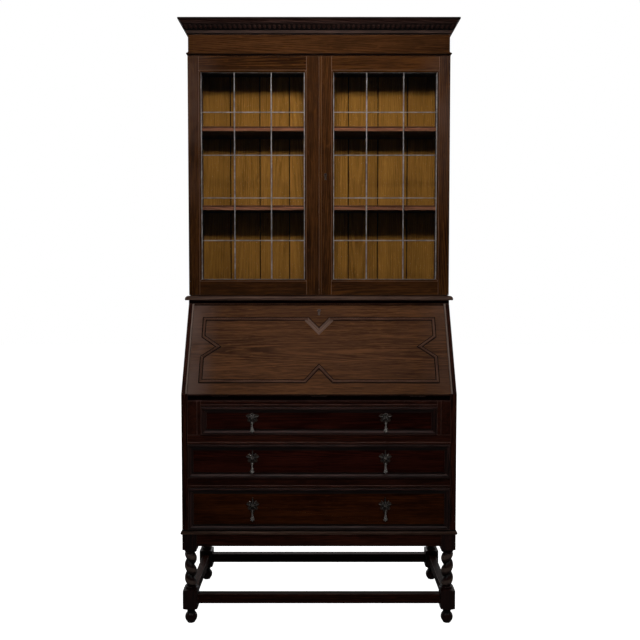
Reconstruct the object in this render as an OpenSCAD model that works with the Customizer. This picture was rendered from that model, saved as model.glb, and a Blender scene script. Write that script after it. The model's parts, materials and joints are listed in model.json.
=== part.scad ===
// Bureau bookcase in dark oak: a twist-leg stand, a case of three drawers with a sloping
// writing fall, and a glazed bookcase with two leaded doors. Millimetres, Z up.
// X runs to the viewer's right and Y to the back. A depth is measured back from the
// plane of the lower case's front.

/* [Cases] */
// Width of both cases over their side boards
case_w = 915; // [850:5:1000]
// Depth of the lower case and of the whole piece at the back
case_d = 400; // [390:5:450]
// Thickness of the side boards of both cases
side_t = 19; // [18:1:22]
// Thickness of the lower back panel
back_t = 8; // [6:1:10]
// How far the lower back panel and the bookcase's back boards sit into the sides
back_rebate = 8; // [5:1:10]

/* [Stand] */
// Height of the stand, floor to the top of the legs
stand_h = 308; // [290:2:340]
// Width of the square blocks of a leg
leg_sq = 48; // [44:1:52]
// Diameter of the ball foot
ball_d = 41; // [36:1:44]
// Diameter of the flat that each ball foot stands on
foot_flat_d = 20; // [14:1:24]
// Diameter of the neck over the ball foot and beside the twist
neck_d = 27; // [22:1:32]
// Height of the lower block's flat faces
low_block_h = 62; // [56:1:70]
// Floor to the lower block's flat faces
low_block_z = 52; // [48:1:56]
// Height of the upper block's flat faces
top_block_h = 54; // [50:1:64]
// Height of the turned shoulder at each end of a block
shoulder_h = 6; // [4:1:8]
// How far the cone at a block's end stands out from the neck
shoulder_out = 2; // [1:0.5:4]
// Diameter of the rope that makes the twist
rope_d = 32; // [28:1:36]
// How far the rope winds off the leg's centre line
rope_off = 4.5; // [3:0.5:6]
// Turns of the twist
twist_turns = 2.73; // [1.5:0.01:3.5]
// Direction in which the rope starts at the foot of the twist
twist_start = 120; // [0:5:355]
// Height of the stretchers
stretcher_h = 32; // [26:1:38]
// Thickness of the stretchers
stretcher_t = 25; // [20:1:30]
// Height of the apron rails under the case
apron_h = 42; // [36:1:46]
// Thickness of the apron rails
apron_t = 20; // [16:1:24]
// How far the apron rails lie behind the faces of the leg blocks
apron_set = 3; // [1:1:6]
// Length of a rail's or stretcher's tenon in its leg
tenon_l = 14; // [10:1:16]
// Thickness of a rail's or stretcher's tenon
tenon_t = 9; // [7:1:11]
// Shoulder over and under a stretcher's tenon
stretcher_shoulder = 4; // [3:1:8]
// Shoulder over and under an apron rail's tenon
apron_shoulder = 6; // [4:1:10]

/* [Base moulding] */
// Height of the moulded frame between stand and case
base_h = 14; // [12:1:18]
// How far the base moulding stands out
base_out = 5; // [4:1:8]
// Width of the frame's members inside the case line
base_in = 55; // [45:1:70]
// Thickness of the dust panel held in the frame
dust_t = 5; // [4:1:6]
// Depth of the groove for the dust panel
dust_groove = 6; // [4:1:8]

/* [Drawers] */
// Height of the lowest drawer's opening
drawer3_h = 144; // [120:1:160]
// Height of the middle drawer's opening
drawer2_h = 115; // [100:1:130]
// Height of the top drawer's opening
drawer1_h = 95; // [90:1:110]
// Height of the rails between the drawers
rail_h = 31; // [24:1:36]
// Height of the rail over the top drawer
top_rail_h = 19; // [16:1:24]
// Depth of the drawer rails, front to back
rail_d = 40; // [30:1:60]
// How far the light bead on a rail stands out
bead_out = 3; // [2:0.5:5]
// Height of the bead on a rail
bead_h = 4; // [3:0.5:6]
// Thickness of the drawer fronts
front_t = 18; // [16:1:22]
// Thickness of the drawer sides and backs
drawer_side_t = 10; // [8:1:12]
// Thickness of the drawer bottoms
drawer_bottom_t = 5; // [4:1:6]
// Room between the closed drawers and the back panel
drawer_room = 32; // [5:1:60]
// Width of the moulding applied round a drawer front
drawer_mould_w = 19; // [14:1:22]
// Thickness of the moulding on a drawer front
drawer_mould_t = 6; // [4:0.5:7]
// Bare edge of a drawer front outside its moulding
drawer_edge = 1; // [0.5:0.5:3]
// How far the drawer boxes lie inside the ends of their fronts
box_in = 1; // [0.5:0.5:3]
// How far the drawer sides end below the top of their front
side_down = 12; // [4:1:20]
// How far the drawer runners reach in from the case sides
runner_w = 28; // [22:1:34]

/* [Lopers] */
// Width of the slides that carry the open fall
loper_w = 32; // [28:1:40]
// Room between the closed slides and the back panel
loper_room = 47; // [5:1:80]
// Thickness of the partitions between the slides and the top drawer
partition_t = 12; // [9:1:14]

/* [Fall] */
// Thickness of the fall
fall_t = 15; // [13:1:18]
// Depth at which the slope of the fall ends at its top
slope_d = 160; // [140:2:180]
// Rise of the slope
slope_h = 293.5; // [270:0.5:310]
// Thickness of the writing board
board_t = 15; // [12:1:18]
// Width of the reeded moulding on the fall
reed_w = 12.6; // [10:0.2:16]
// Thickness of the reeded moulding
reed_t = 5; // [4:0.5:7]
// Bare margin between the fall's side edges and the moulding
reed_side = 34.5; // [34:0.5:45]
// Bare margin between the fall's bottom edge and the moulding
reed_low = 39; // [30:1:46]
// Height of the moulding's outline on the slope
reed_h = 243; // [220:1:250]
// Half width and depth of the notch in the moulding's top run
top_notch = [35, 38];
// Half width and depth of the notch in the moulding's bottom run
low_notch = [44, 50];
// Half height and depth of the notches in the moulding's side runs
side_notch = [35, 48];
// Height of the side notches' points above the moulding's bottom
side_notch_z = 132; // [110:1:150]
// Height of the strip that the closed fall rests on
stop_h = 14; // [10:1:16]
// Depth of that strip behind the fall's top edge
stop_w = 50; // [30:1:80]
// Thickness of the bureau's top board
bureau_top_t = 12.5; // [10:0.5:18]

/* [Pigeonholes] */
// Height of the pigeonholes over the writing board
pigeon_h = 235; // [200:5:250]
// Depth of the pigeonholes, front to back
pigeon_d = 200; // [150:5:210]
// Thickness of their boards
pigeon_t = 6; // [5:1:8]
// Width of the middle space
pigeon_mid_w = 250; // [200:5:300]
// Columns of pigeonholes on each side of the middle space
pigeon_cols = 3; // [2:1:4]

/* [Bookcase] */
// Depth at which the bookcase's side boards begin
upper_d = 188; // [180:1:200]
// Height of the waist moulding round the bookcase's foot
waist_h = 16; // [12:1:20]
// How far the waist moulding stands out from the case sides
waist_out = 13; // [10:1:16]
// Thickness of the bookcase's floor and ceiling boards
end_board_t = 19; // [16:1:22]
// Thickness of the two shelves
shelf_t = 13; // [11:1:18]
// Front setback of the shelves from the case front
shelf_set = 15; // [8:1:24]
// Heights of the shelves' undersides over the bureau top
shelf_z = [323, 601];
// Diameter of the shelf pegs
peg_d = 6; // [5:1:8]
// Length of a peg inside the side board
peg_in = 9; // [7:1:12]
// Length of a peg under the shelf
peg_out = 9; // [7:1:14]
// Distance from a shelf's front or back edge to its pegs
peg_set = 32; // [20:1:50]
// Distance from the bookcase's ceiling board up to the frieze
ceiling_drop = 4; // [0:1:5]
// Thickness of the matched back boards
match_t = 10; // [8:1:12]
// Number of matched back boards
match_n = 8; // [6:1:10]

/* [Frieze and cornice] */
// Height of the frieze board
frieze_h = 70; // [55:1:80]
// Thickness of the frieze board in front of the side boards
frieze_t = 8; // [6:1:12]
// Height of the small moulding under the frieze
astragal_h = 11; // [8:1:14]
// How far that moulding stands out from the frieze
astragal_out = 6; // [4:1:9]
// Height of the cornice
cornice_h = 51; // [40:1:60]
// How far the cornice stands out from the frieze
cornice_out = 31; // [24:1:40]
// Thickness of the board that closes the top
cover_t = 7; // [5:1:10]

/* [Doors] */
// Thickness of the door frames
door_t = 20; // [18:1:24]
// Gap between the waist moulding and the doors
door_low_gap = 2; // [1:0.5:4]
// Height of the doors
door_h = 832; // [800:2:840]
// Room between the doors and the frieze over them
door_top_room = 6; // [3:1:12]
// Gap between the two doors
meeting_gap = 1; // [0.6:0.2:3]
// Width of a door's hinge stile without its glass moulding
stile_w = 38; // [32:1:46]
// Width of a door's meeting stile without its glass moulding
meeting_w = 43.4; // [36:0.2:50]
// Height of a door's rails without their glass moulding
door_rail_h = 49; // [42:1:56]
// Width of the small moulding round the glass
sight_w = 6; // [4:1:8]
// Depth of the rebate that holds the glass, from the door's back
rebate_d = 11; // [9:1:12]
// Width of that rebate
rebate_w = 8; // [6:1:10]
// Length of a door rail's tenons
door_tenon_l = 26; // [18:1:30]
// Thickness of a door rail's tenons
door_tenon_t = 6; // [5:1:7]
// Width of the bead on the right door's meeting edge
meeting_bead_w = 9; // [6:1:12]
// How far that bead stands out
meeting_bead_out = 3; // [2:0.5:4]

/* [Leaded lights] */
// Columns of panes in each door
pane_cols = 3; // [2:1:4]
// Rows of panes in each door
pane_rows = 5; // [3:1:6]
// Width of the lead strips seen from the front
lead_w = 6; // [4:0.5:9]
// Thickness of the lead strips, front to back
lead_t = 5; // [4:0.5:6]
// Thickness of the glass
glass_t = 2.4; // [2:0.2:3]
// Thickness of the lead between two panes
heart_t = 1.6; // [1:0.2:2]
// Width of the lead that shows beside the frame's small moulding
lead_edge = 7; // [4:0.5:9]

/* [Handles] */
// Distance from the centre line to each drawer handle
handle_x = 221; // [150:1:300]
// Height of the handle plates over the middle of the drawer fronts
plate_up = 12; // [0:1:12]
// Thickness of the handle plates
plate_t = 2.5; // [2:0.5:4]
// Diameter of the bolt that holds a handle plate
bolt_d = 4; // [3:0.5:5]
// Radius of the slotted boss that holds the drop
boss_r = 6.5; // [6:0.5:8]
// Distance from the drawer's face to the drop's pin
pin_out = 14.5; // [14:0.5:18]
// Distance from the plate's middle down to the pin
pin_low = 15; // [12:1:16]
// Diameter of the drop's pin
pin_d = 2.4; // [2:0.2:3]
// Length of the bell-shaped drop under its pin
drop_l = 36; // [30:1:38]
// Largest diameter of the drop
drop_d = 15; // [11:1:16]

/* [Hinges and locks] */
// Length of a hinge
hinge_l = 50; // [40:2:70]
// Diameter of a hinge's knuckles
knuckle_d = 5.2; // [4.4:0.2:6]
// Diameter of a hinge's pin
hinge_pin_d = 2.4; // [2:0.2:3]
// Thickness of a hinge's leaves
leaf_t = 1.5; // [1.2:0.1:2]
// Width of the door hinges' leaves
door_leaf_w = 15; // [12:1:17]
// Width of the fall hinges' leaves
fall_leaf_w = 22; // [18:1:30]
// Distance from a door's end to the middle of its hinge
door_hinge_end = 120; // [80:5:200]
// Distance from the centre line to the outer fall hinges
fall_hinge_x = 330; // [250:5:380]
// Height of the keyhole plates
key_plate_h = 24; // [20:1:30]
// Width of the keyhole plates
key_plate_w = 12; // [10:1:16]
// Thickness of the keyhole plates
key_plate_t = 1.2; // [1:0.2:2]
// Width of the fall's lock box
lock_w = 40; // [30:1:42]
// Height of the fall's lock box
lock_h = 30; // [24:1:34]
// Width of the door's lock box
door_lock_w = 17; // [14:1:17]
// Height of the door's lock box
door_lock_h = 44; // [36:1:60]
// Height of the doors' keyhole over their lower edge
door_key_h = 421; // [350:1:500]
// Distance up the slope to the fall's keyhole
fall_key_y = 308; // [300:1:312]

/* [Clearances] */
// Gap under and over a drawer or a slide
run_gap = 0.3; // [0.2:0.1:0.6]
// Gap at each side of a drawer or a slide
side_gap = 0.6; // [0.4:0.1:1.2]
// Gap between a closed door and the case
door_gap = 0.3; // [0.2:0.1:0.6]
// Radial gap of a pin in its bore
pin_gap = 0.05; // [0.03:0.01:0.1]
// Gap round a moving knuckle
knuckle_gap = 0.3; // [0.2:0.1:0.5]
// Thickness of a glued joint between two pieces of wood
glue = 0.05; // [0.02:0.01:0.1]
// Gap between two matched back boards
match_gap = 0.6; // [0.3:0.1:1.5]

/* [Hidden] */

$fn = 48;
oak = "#3a2418";
oak_light = "#5a3a22";
pine = "#8a6a3c";
brass = "#6b5a38";
lead = "#6f7274";

// How far the drops stand out in front of the drawers, the foremost point of the piece
handle_out = pin_out + drop_d / 2;
// Y of the plane of the lower case's front, so that the whole piece is centred on Y
front_y = -(case_d - handle_out) / 2;
half_w = case_w / 2;
in_w = case_w - 2 * side_t;
half_in = in_w / 2;

leg_x = half_w - leg_sq / 2;
rear_leg_d = case_d - leg_sq / 2;
ball_z = sqrt(pow(ball_d / 2, 2) - pow(foot_flat_d / 2, 2));
stretcher_z = low_block_z + (low_block_h - stretcher_h) / 2;
apron_z = stand_h - apron_h;
twist_z = low_block_z + low_block_h + 2 * shoulder_h;
twist_top = stand_h - top_block_h - 2 * shoulder_h;

case_z = stand_h + base_h;
drawer3_z = case_z;
rail3_z = drawer3_z + drawer3_h;
drawer2_z = rail3_z + rail_h;
rail2_z = drawer2_z + drawer2_h;
drawer1_z = rail2_z + rail_h;
top_rail_z = drawer1_z + drawer1_h;
board_low = top_rail_z + top_rail_h;
board_top = board_low + board_t;
// Top of the slides, the top rail and the partitions' noses: just under the open fall
slide_top = min(board_low, board_top - fall_t) - run_gap;

// Slope of the fall, and the places that follow from it. The hinge axis is the inner
// lower edge of the fall, level with the writing board's top.
slope = atan2(slope_h, slope_d);
fall_l = sqrt(slope_d * slope_d + slope_h * slope_h);
hinge_d = fall_t * sin(slope);
fall_z = board_top + fall_t * cos(slope);
lower_top = fall_z + slope_h;
upper_z = lower_top + bureau_top_t;
// Depth of the fall's inner face at a height
function fall_inner(z) = hinge_d + (z - board_top) / tan(slope);

loper_x = half_in - side_gap - loper_w;
partition_x = loper_x - side_gap - partition_t;

floor_z = upper_z + waist_h;
door_z = floor_z + door_low_gap;
door_top = door_z + door_h;
frieze_z = door_top + door_top_room;
upper_top = frieze_z + frieze_h;
frieze_d = upper_d - frieze_t;
ceiling_z = frieze_z - end_board_t - ceiling_drop;
door_back = upper_d - door_gap;
door_front = door_back - door_t;
// Keyhole of the doors: the middle of the flat beside the meeting bead
lock_x = meeting_gap / 2 + meeting_bead_w + (meeting_w - rebate_w - meeting_bead_w) / 2;
lock_z = door_z + door_key_h;
drawer_l = case_d - back_t - drawer_room;
loper_l = case_d - back_t - loper_room;
// Depth of the pins that the doors turn on, midway in the gap behind them
pin_depth = upper_d - door_gap / 2;
match_d = case_d - match_t;
shelf_back = match_d - run_gap;

sight_x0 = meeting_gap / 2 + meeting_w;
sight_x1 = half_w - stile_w;
sight_z0 = door_z + door_rail_h;
sight_z1 = door_top - door_rail_h;
// Outline of the leaded panel, which stands 1 mm inside its rebate
panel_x0 = sight_x0 - rebate_w + 1;
panel_x1 = sight_x1 + rebate_w - 1;
panel_z0 = sight_z0 - rebate_w + 1;
panel_z1 = sight_z1 + rebate_w - 1;
glass_d = door_back - rebate_d;
glazing_d = glass_d + lead_t;

// A board between two X values, two depths and two heights
module board(x0, x1, d0, d1, z0, z1) {
    translate([x0, front_y + d0, z0]) cube([x1 - x0, d1 - d0, z1 - z0]);
}

// A board across the whole piece, as wide on the left as on the right
module cross_board(half, d0, d1, z0, z1) {
    board(-half, half, d0, d1, z0, z1);
}

module both_sides() {
    children();
    mirror([1, 0, 0]) children();
}

// Turns a drawing in X and Y, raised in Z, to stand on a front at a depth
module on_front(x, d, z) {
    translate([x, front_y + d, z]) rotate([90, 0, 0]) children();
}

// Lays a drawing on the outer face of the fall: Y runs up the slope, Z outwards
module on_fall() {
    translate([0, front_y, fall_z]) rotate([slope, 0, 0]) children();
}

// One side of a mitred frame, along X from 0, with its outer edge at Y = 0. gap is taken
// off each mitre, so that neighbours meet over a glue line
module mitred_strip(l, s, section, gap) {
    top = max([for (q = section) q[1]]);
    intersection() {
        rotate([90, 0, 90]) linear_extrude(l) polygon(section);
        linear_extrude(top)
            polygon([[gap, 0], [l - gap, 0], [l - s - gap, s], [s + gap, s]]);
    }
}

// A mitred frame of four strips, w by h outside, centred on the origin
module mitred_frame(w, h, s, section) {
    for (turn = [0, 180])
        rotate([0, 0, turn]) translate([-w / 2, -h / 2, 0]) mitred_strip(w, s, section, 0);
    for (turn = [90, -90])
        rotate([0, 0, turn]) translate([-h / 2, -w / 2, 0])
            mitred_strip(h, s, section, 2 * glue);
}

// A moulding round the front and both sides. The section's points are how far out and
// how high; d is the depth of the face that it is planted on and back where it ends.
module three_sided(section, d, z, back) {
    out = max([for (q = section) q[0]]);
    in = -min([for (q = section) q[0]]);
    top = max([for (q = section) q[1]]);
    translate([0, front_y + d, z]) {
        intersection() {
            translate([-half_w - out, 0, 0]) rotate([90, 0, 90])
                linear_extrude(case_w + 2 * out) polygon([for (q = section) [-q[0], q[1]]]);
            linear_extrude(top) polygon([
                [-half_w - out, -out], [half_w + out, -out],
                [half_w - in, in], [-half_w + in, in]]);
        }
        both_sides() intersection() {
            translate([half_w, back - d, 0]) rotate([90, 0, 0])
                linear_extrude(back - d + out) polygon(section);
            linear_extrude(top) polygon([
                [half_w + out, -out + 2 * glue], [half_w + out, back - d],
                [half_w - in, back - d], [half_w - in, in + 2 * glue]]);
        }
    }
}

// Points of a quarter round, from the outer low point in to the top
function quarter(out, low, high, n = 6) =
    [for (i = [0:n]) [out * cos(90 * i / n), low + (high - low) * sin(90 * i / n)]];

// A block of a leg: a square prism whose ends were turned to a cone
module leg_block(h) {
    // Radius just past the corners of the square
    big = leg_sq * 0.72;
    intersection() {
        translate([-leg_sq / 2, -leg_sq / 2, -shoulder_h])
            cube([leg_sq, leg_sq, h + 2 * shoulder_h]);
        union() {
            translate([0, 0, -shoulder_h])
                cylinder(r1 = neck_d / 2 + shoulder_out, r2 = big, h = shoulder_h);
            cylinder(r = big, h = h);
            translate([0, 0, h]) cylinder(r1 = big, r2 = neck_d / 2 + shoulder_out, h = shoulder_h);
        }
    }
}

// A turned leg with its twist, whose rope climbs to the right as seen from the front
module leg() {
    low_top = low_block_z + low_block_h + shoulder_h;
    difference() {
        translate([0, 0, ball_z]) sphere(d = ball_d, $fn = 64);
        translate([0, 0, -ball_d]) cylinder(d = 2 * ball_d, h = ball_d);
    }
    translate([0, 0, ball_z]) cylinder(d = neck_d, h = low_block_z - shoulder_h - ball_z);
    translate([0, 0, low_block_z]) leg_block(low_block_h);
    translate([0, 0, low_top]) cylinder(d = ball_d, h = shoulder_h);
    translate([0, 0, twist_z - 1])
        linear_extrude(twist_top - twist_z + 2, twist = -360 * twist_turns,
                       slices = round(twist_turns * 18), $fn = 20)
            rotate(twist_start) translate([rope_off, 0]) circle(d = rope_d);
    translate([0, 0, twist_top]) cylinder(d = ball_d, h = shoulder_h);
    translate([0, 0, stand_h - top_block_h]) intersection() {
        leg_block(top_block_h);
        translate([-leg_sq, -leg_sq, -shoulder_h])
            cube([2 * leg_sq, 2 * leg_sq, top_block_h + shoulder_h]);
    }
}

// The tenons of the front or back member and of the side member in the leg at X > 0,
// as seen from that leg's own centre. back is 1 for a front leg and -1 for a rear one
module leg_tenons(back) {
    // Stretcher tenons are centred on the block
    for (turn = [0, 1]) {
        rotate([0, 0, turn == 0 ? 0 : -90 * back])
            translate([-leg_sq / 2, -tenon_t / 2, stretcher_z + stretcher_shoulder])
                cube([tenon_l, tenon_t, stretcher_h - 2 * stretcher_shoulder]);
    }
    // Apron tenons are centred on the apron's own thickness
    off = leg_sq / 2 - apron_set - apron_t / 2;
    z = apron_z + apron_shoulder;
    h = apron_h - 2 * apron_shoulder;
    translate([-leg_sq / 2, -back * off - tenon_t / 2, z]) cube([tenon_l, tenon_t, h]);
    translate([off - tenon_t / 2, back > 0 ? leg_sq / 2 - tenon_l : -leg_sq / 2, z])
        cube([tenon_t, tenon_l, h]);
}

// One leg in its place, cut for its tenons
module placed_leg(side, d, back) {
    color(oak) mirror([side < 0 ? 1 : 0, 0, 0]) translate([leg_x, front_y + d, 0])
        difference() {
            leg();
            leg_tenons(back);
        }
}

module front_left_leg() placed_leg(-1, leg_sq / 2, 1);
module front_right_leg() placed_leg(1, leg_sq / 2, 1);
module rear_left_leg() placed_leg(-1, rear_leg_d, -1);
module rear_right_leg() placed_leg(1, rear_leg_d, -1);

// A member between two legs along X: half is its half length and d its middle depth
module x_member(d, t, z, h, shoulder) {
    half = leg_x - leg_sq / 2;
    cross_board(half, d - t / 2, d + t / 2, z, z + h);
    both_sides() board(half, half + tenon_l, d - tenon_t / 2, d + tenon_t / 2,
                       z + shoulder, z + h - shoulder);
}

// A member between two legs along Y, whose middle is at x
module y_member(x, t, z, h, shoulder) {
    d0 = leg_sq;
    d1 = case_d - leg_sq;
    board(x - t / 2, x + t / 2, d0, d1, z, z + h);
    board(x - tenon_t / 2, x + tenon_t / 2, d0 - tenon_l, d1 + tenon_l,
          z + shoulder, z + h - shoulder);
}

module stretchers() color(oak) {
    for (d = [leg_sq / 2, rear_leg_d])
        x_member(d, stretcher_t, stretcher_z, stretcher_h, stretcher_shoulder);
    both_sides() y_member(leg_x, stretcher_t, stretcher_z, stretcher_h, stretcher_shoulder);
}

module stand_rails() color(oak) {
    set = apron_set + apron_t / 2;
    for (d = [set, case_d - set]) x_member(d, apron_t, apron_z, apron_h, apron_shoulder);
    both_sides() y_member(half_w - set, apron_t, apron_z, apron_h, apron_shoulder);
}

// The panel in the frame's grooves; room is the glue line that its groove leaves
module dust_panel(room) {
    z = stand_h + (base_h - dust_t) / 2;
    cross_board(half_w - base_in + dust_groove + room, base_in - dust_groove - room,
                case_d - base_in + dust_groove + room, z - room, z + dust_t + room);
}

module base_moulding() color(oak) {
    section = concat([[-base_in, base_h], [-base_in, 0], [base_out, 0]],
                     quarter(base_out, 3, base_h));
    difference() {
        union() {
            three_sided(section, 0, stand_h, case_d);
            cross_board(half_w - base_in - glue, case_d - base_in, case_d, stand_h, case_z);
        }
        dust_panel(glue);
    }
    dust_panel(0);
}

// Side board of the lower case, with a sloping edge beside the fall
module lower_side() {
    difference() {
        translate([half_in, front_y, 0]) rotate([90, 0, 90]) linear_extrude(side_t)
            polygon([[0, case_z], [case_d, case_z], [case_d, lower_top],
                     [slope_d, lower_top], [0, fall_z]]);
        board(half_in - 1, half_in + back_rebate, case_d - back_t, case_d + 1,
              case_z - 1, lower_top + 1);
    }
}

module lower_right_side() color(oak) lower_side();
module lower_left_side() color(oak) mirror([1, 0, 0]) lower_side();

module lower_back_panel() color(oak_light)
    cross_board(half_in + back_rebate, case_d - back_t, case_d, case_z, lower_top);

// A rail with a small bead along its front, a little over its lower edge
module beaded_rail(half, z0, z1) {
    bead_z = z0 + 3;
    cross_board(half, 0, rail_d, z0, z1);
    cross_board(half, -bead_out, 0, bead_z, bead_z + bead_h);
}

module drawer_rails() color(oak) {
    beaded_rail(half_in, rail3_z, drawer2_z);
    beaded_rail(half_in, rail2_z, drawer1_z);
    beaded_rail(partition_x, top_rail_z, slide_top);
}

// Battens behind the rails: the drawer above runs on them, the one below is kept level
module drawer_runners() color(oak_light) both_sides() {
    back = case_d - back_t;
    board(half_in - runner_w, half_in, rail_d, back, rail3_z, drawer2_z);
    board(partition_x - runner_w, half_in, rail_d, back, rail2_z, drawer1_z);
    board(partition_x - runner_w, partition_x, rail_d, back, top_rail_z, board_low);
}

module loper_partitions() color(oak) both_sides()
    translate([partition_x, front_y, 0]) rotate([90, 0, 90]) linear_extrude(partition_t)
        polygon([[0, drawer1_z], [case_d - back_t, drawer1_z],
                 [case_d - back_t, board_low], [hinge_d + run_gap, board_low],
                 [hinge_d + run_gap, slide_top], [0, slide_top]]);

module loper(side) color(oak)
    mirror([side < 0 ? 1 : 0, 0, 0])
        board(loper_x, loper_x + loper_w, 0, loper_l, drawer1_z + run_gap, slide_top);

module left_loper() loper(-1);
module right_loper() loper(1);

// Hinge with its pin on X: a leaf lies sunk under Z = 0 and runs towards Y
module hinge_leaf(leaf_w, fixed, sunk) {
    mid = hinge_l / 6;
    end_l = hinge_l / 2 - mid;
    difference() {
        union() {
            translate([-hinge_l / 2, knuckle_gap, -leaf_t - sunk])
                cube([hinge_l, leaf_w - knuckle_gap, leaf_t]);
            if (fixed) {
                for (x = [-hinge_l / 2, mid]) translate([x, 0, 0])
                    rotate([0, 90, 0]) cylinder(d = knuckle_d, h = end_l);
            } else {
                translate([-mid + knuckle_gap, 0, 0]) rotate([0, 90, 0])
                    cylinder(d = knuckle_d, h = 2 * mid - 2 * knuckle_gap);
            }
        }
        if (fixed) {
            translate([-mid, 0, 0]) rotate([0, 90, 0])
                cylinder(d = knuckle_d + 2 * knuckle_gap, h = 2 * mid);
        } else {
            for (x = [-hinge_l / 2 - 1, mid - knuckle_gap]) translate([x, 0, 0])
                rotate([0, 90, 0])
                    cylinder(d = knuckle_d + 2 * knuckle_gap, h = end_l + 1 + knuckle_gap);
            translate([-mid, 0, 0]) rotate([0, 90, 0])
                cylinder(d = hinge_pin_d + 2 * pin_gap, h = 2 * mid);
        }
    }
    if (fixed) translate([-hinge_l / 2, 0, 0]) rotate([0, 90, 0])
        cylinder(d = hinge_pin_d, h = hinge_l);
}

// The room that a leaf and the knuckles take out of the wood
module hinge_cut(leaf_w, sunk) {
    translate([-hinge_l / 2, -1, -leaf_t - sunk])
        cube([hinge_l, leaf_w + 1, leaf_t + sunk + 1]);
    translate([-hinge_l / 2 - knuckle_gap, 0, 0]) rotate([0, 90, 0])
        cylinder(d = knuckle_d + 2 * knuckle_gap, h = hinge_l + 2 * knuckle_gap);
}

fall_hinges = [-fall_hinge_x, 0, fall_hinge_x];

module at_board_hinges() for (x = fall_hinges)
    translate([x, front_y + hinge_d, board_top]) children();

module at_fall_hinges() for (x = fall_hinges)
    translate([x, front_y + hinge_d, board_top]) rotate([slope, 0, 0])
        rotate([0, 180, 0]) children();

module fall_hinge_fixed_leaves() color(brass)
    at_board_hinges() hinge_leaf(fall_leaf_w, true, 0);
module fall_hinge_moving_leaves() color(brass)
    at_fall_hinges() hinge_leaf(fall_leaf_w, false, 0);

module writing_board() color(oak_light) difference() {
    cross_board(half_in, hinge_d + run_gap, case_d - back_t, board_low, board_top);
    at_board_hinges() hinge_cut(fall_leaf_w, 0);
}

// Top board of the bureau and the strip under it that the closed fall rests on
module bureau_top() color(oak) {
    stop_back = slope_d + stop_w;
    cross_board(half_w, slope_d + run_gap, case_d, lower_top, upper_z);
    translate([-half_in, front_y, -glue]) rotate([90, 0, 90]) linear_extrude(in_w)
        polygon([[fall_inner(lower_top - stop_h) + run_gap, lower_top - stop_h],
                 [stop_back, lower_top - stop_h], [stop_back, lower_top],
                 [fall_inner(lower_top) + run_gap, lower_top]]);
}

// A rack of small open spaces at the back of the writing board
module pigeonholes() color(oak_light) {
    d0 = case_d - back_t - pigeon_d;
    d1 = case_d - back_t;
    z1 = board_top + pigeon_h;
    inner = z1 - pigeon_t;
    col_w = (half_in - pigeon_mid_w / 2 - (pigeon_cols + 1) * pigeon_t) / pigeon_cols;
    shelf = board_top + (pigeon_h - pigeon_t) / 2;
    cross_board(half_in, d0, d1, inner, z1);
    both_sides() {
        for (i = [0:pigeon_cols]) {
            x = pigeon_mid_w / 2 + i * (col_w + pigeon_t);
            board(x, x + pigeon_t, d0, d1, board_top, inner - glue);
        }
        for (i = [0:pigeon_cols - 1]) {
            x = pigeon_mid_w / 2 + pigeon_t + i * (col_w + pigeon_t);
            board(x + glue, x + col_w - glue, d0, d1, shelf - pigeon_t / 2,
                  shelf + pigeon_t / 2);
        }
    }
}

// A keyhole plate, a round head over a narrow tail, and its hole; Z runs out of the wood
module keyhole_plate() {
    difference() {
        union() {
            cylinder(d = key_plate_w, h = key_plate_t);
            translate([-key_plate_w * 0.3, key_plate_w / 2 - key_plate_h, 0])
                cube([key_plate_w * 0.6, key_plate_h - key_plate_w / 2, key_plate_t]);
        }
        translate([0, 0, -1]) cylinder(d = 5, h = key_plate_t + 2);
        translate([-1.2, -10, -1]) cube([2.4, 10, key_plate_t + 2]);
    }
}

// The lock's box, let into the wood from behind; t is the wood's thickness
module lock_box(w, h, t) {
    translate([-w / 2, 4 - h, -t]) cube([w, h, t * 0.6]);
}

// The way for the key from the plate to the lock's box
module key_way(t) {
    translate([0, 0, -t * 0.7]) cylinder(d = 5, h = t * 0.7 + 1);
    translate([-1.2, -10, -t * 0.7]) cube([2.4, 10, t * 0.7 + 1]);
}

module fall_panel() color(oak) difference() {
    on_fall() translate([-half_in + side_gap, 0, -fall_t])
        cube([in_w - 2 * side_gap, fall_l, fall_t]);
    at_fall_hinges() hinge_cut(fall_leaf_w, 0);
    on_fall() translate([0, fall_key_y, 0]) {
        lock_box(lock_w, lock_h, fall_t);
        key_way(fall_t);
    }
}

module fall_lock() color(brass) on_fall() translate([0, fall_key_y, 0]) {
    keyhole_plate();
    lock_box(lock_w, lock_h, fall_t);
}

// A closed outline moved inwards by t, where its points run to the left of the inside
function inset(p, t) = [for (i = [0:len(p) - 1])
    let (a = p[(i + len(p) - 1) % len(p)], b = p[i], c = p[(i + 1) % len(p)],
         u = (b - a) / norm(b - a), v = (c - b) / norm(c - b),
         m = [-u[1], u[0]], n = [-v[1], v[0]])
    b + t * (m + n) / (1 + m * n)];

// Outline of the moulding on the fall, with a pointed notch in each side
function reed_outline() =
    let (w = half_in - reed_side, z0 = reed_low, z1 = reed_low + reed_h,
         zs = reed_low + side_notch_z)
    [[-w, z0], [-low_notch[0], z0], [0, z0 + low_notch[1]], [low_notch[0], z0], [w, z0],
     [w, zs - side_notch[0]], [w - side_notch[1], zs], [w, zs + side_notch[0]], [w, z1],
     [top_notch[0], z1], [0, z1 - top_notch[1]], [-top_notch[0], z1], [-w, z1],
     [-w, zs + side_notch[0]], [-w + side_notch[1], zs], [-w, zs - side_notch[0]]];

module fall_moulding() color(oak) on_fall() {
    steps = [[0, 1.5, reed_t * 0.5], [1.5, reed_w - 3, reed_t], [reed_w - 3, reed_w, reed_t * 0.6]];
    for (s = steps) linear_extrude(s[2]) difference() {
        polygon(inset(reed_outline(), s[0]));
        polygon(inset(reed_outline(), s[1]));
    }
}

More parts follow.
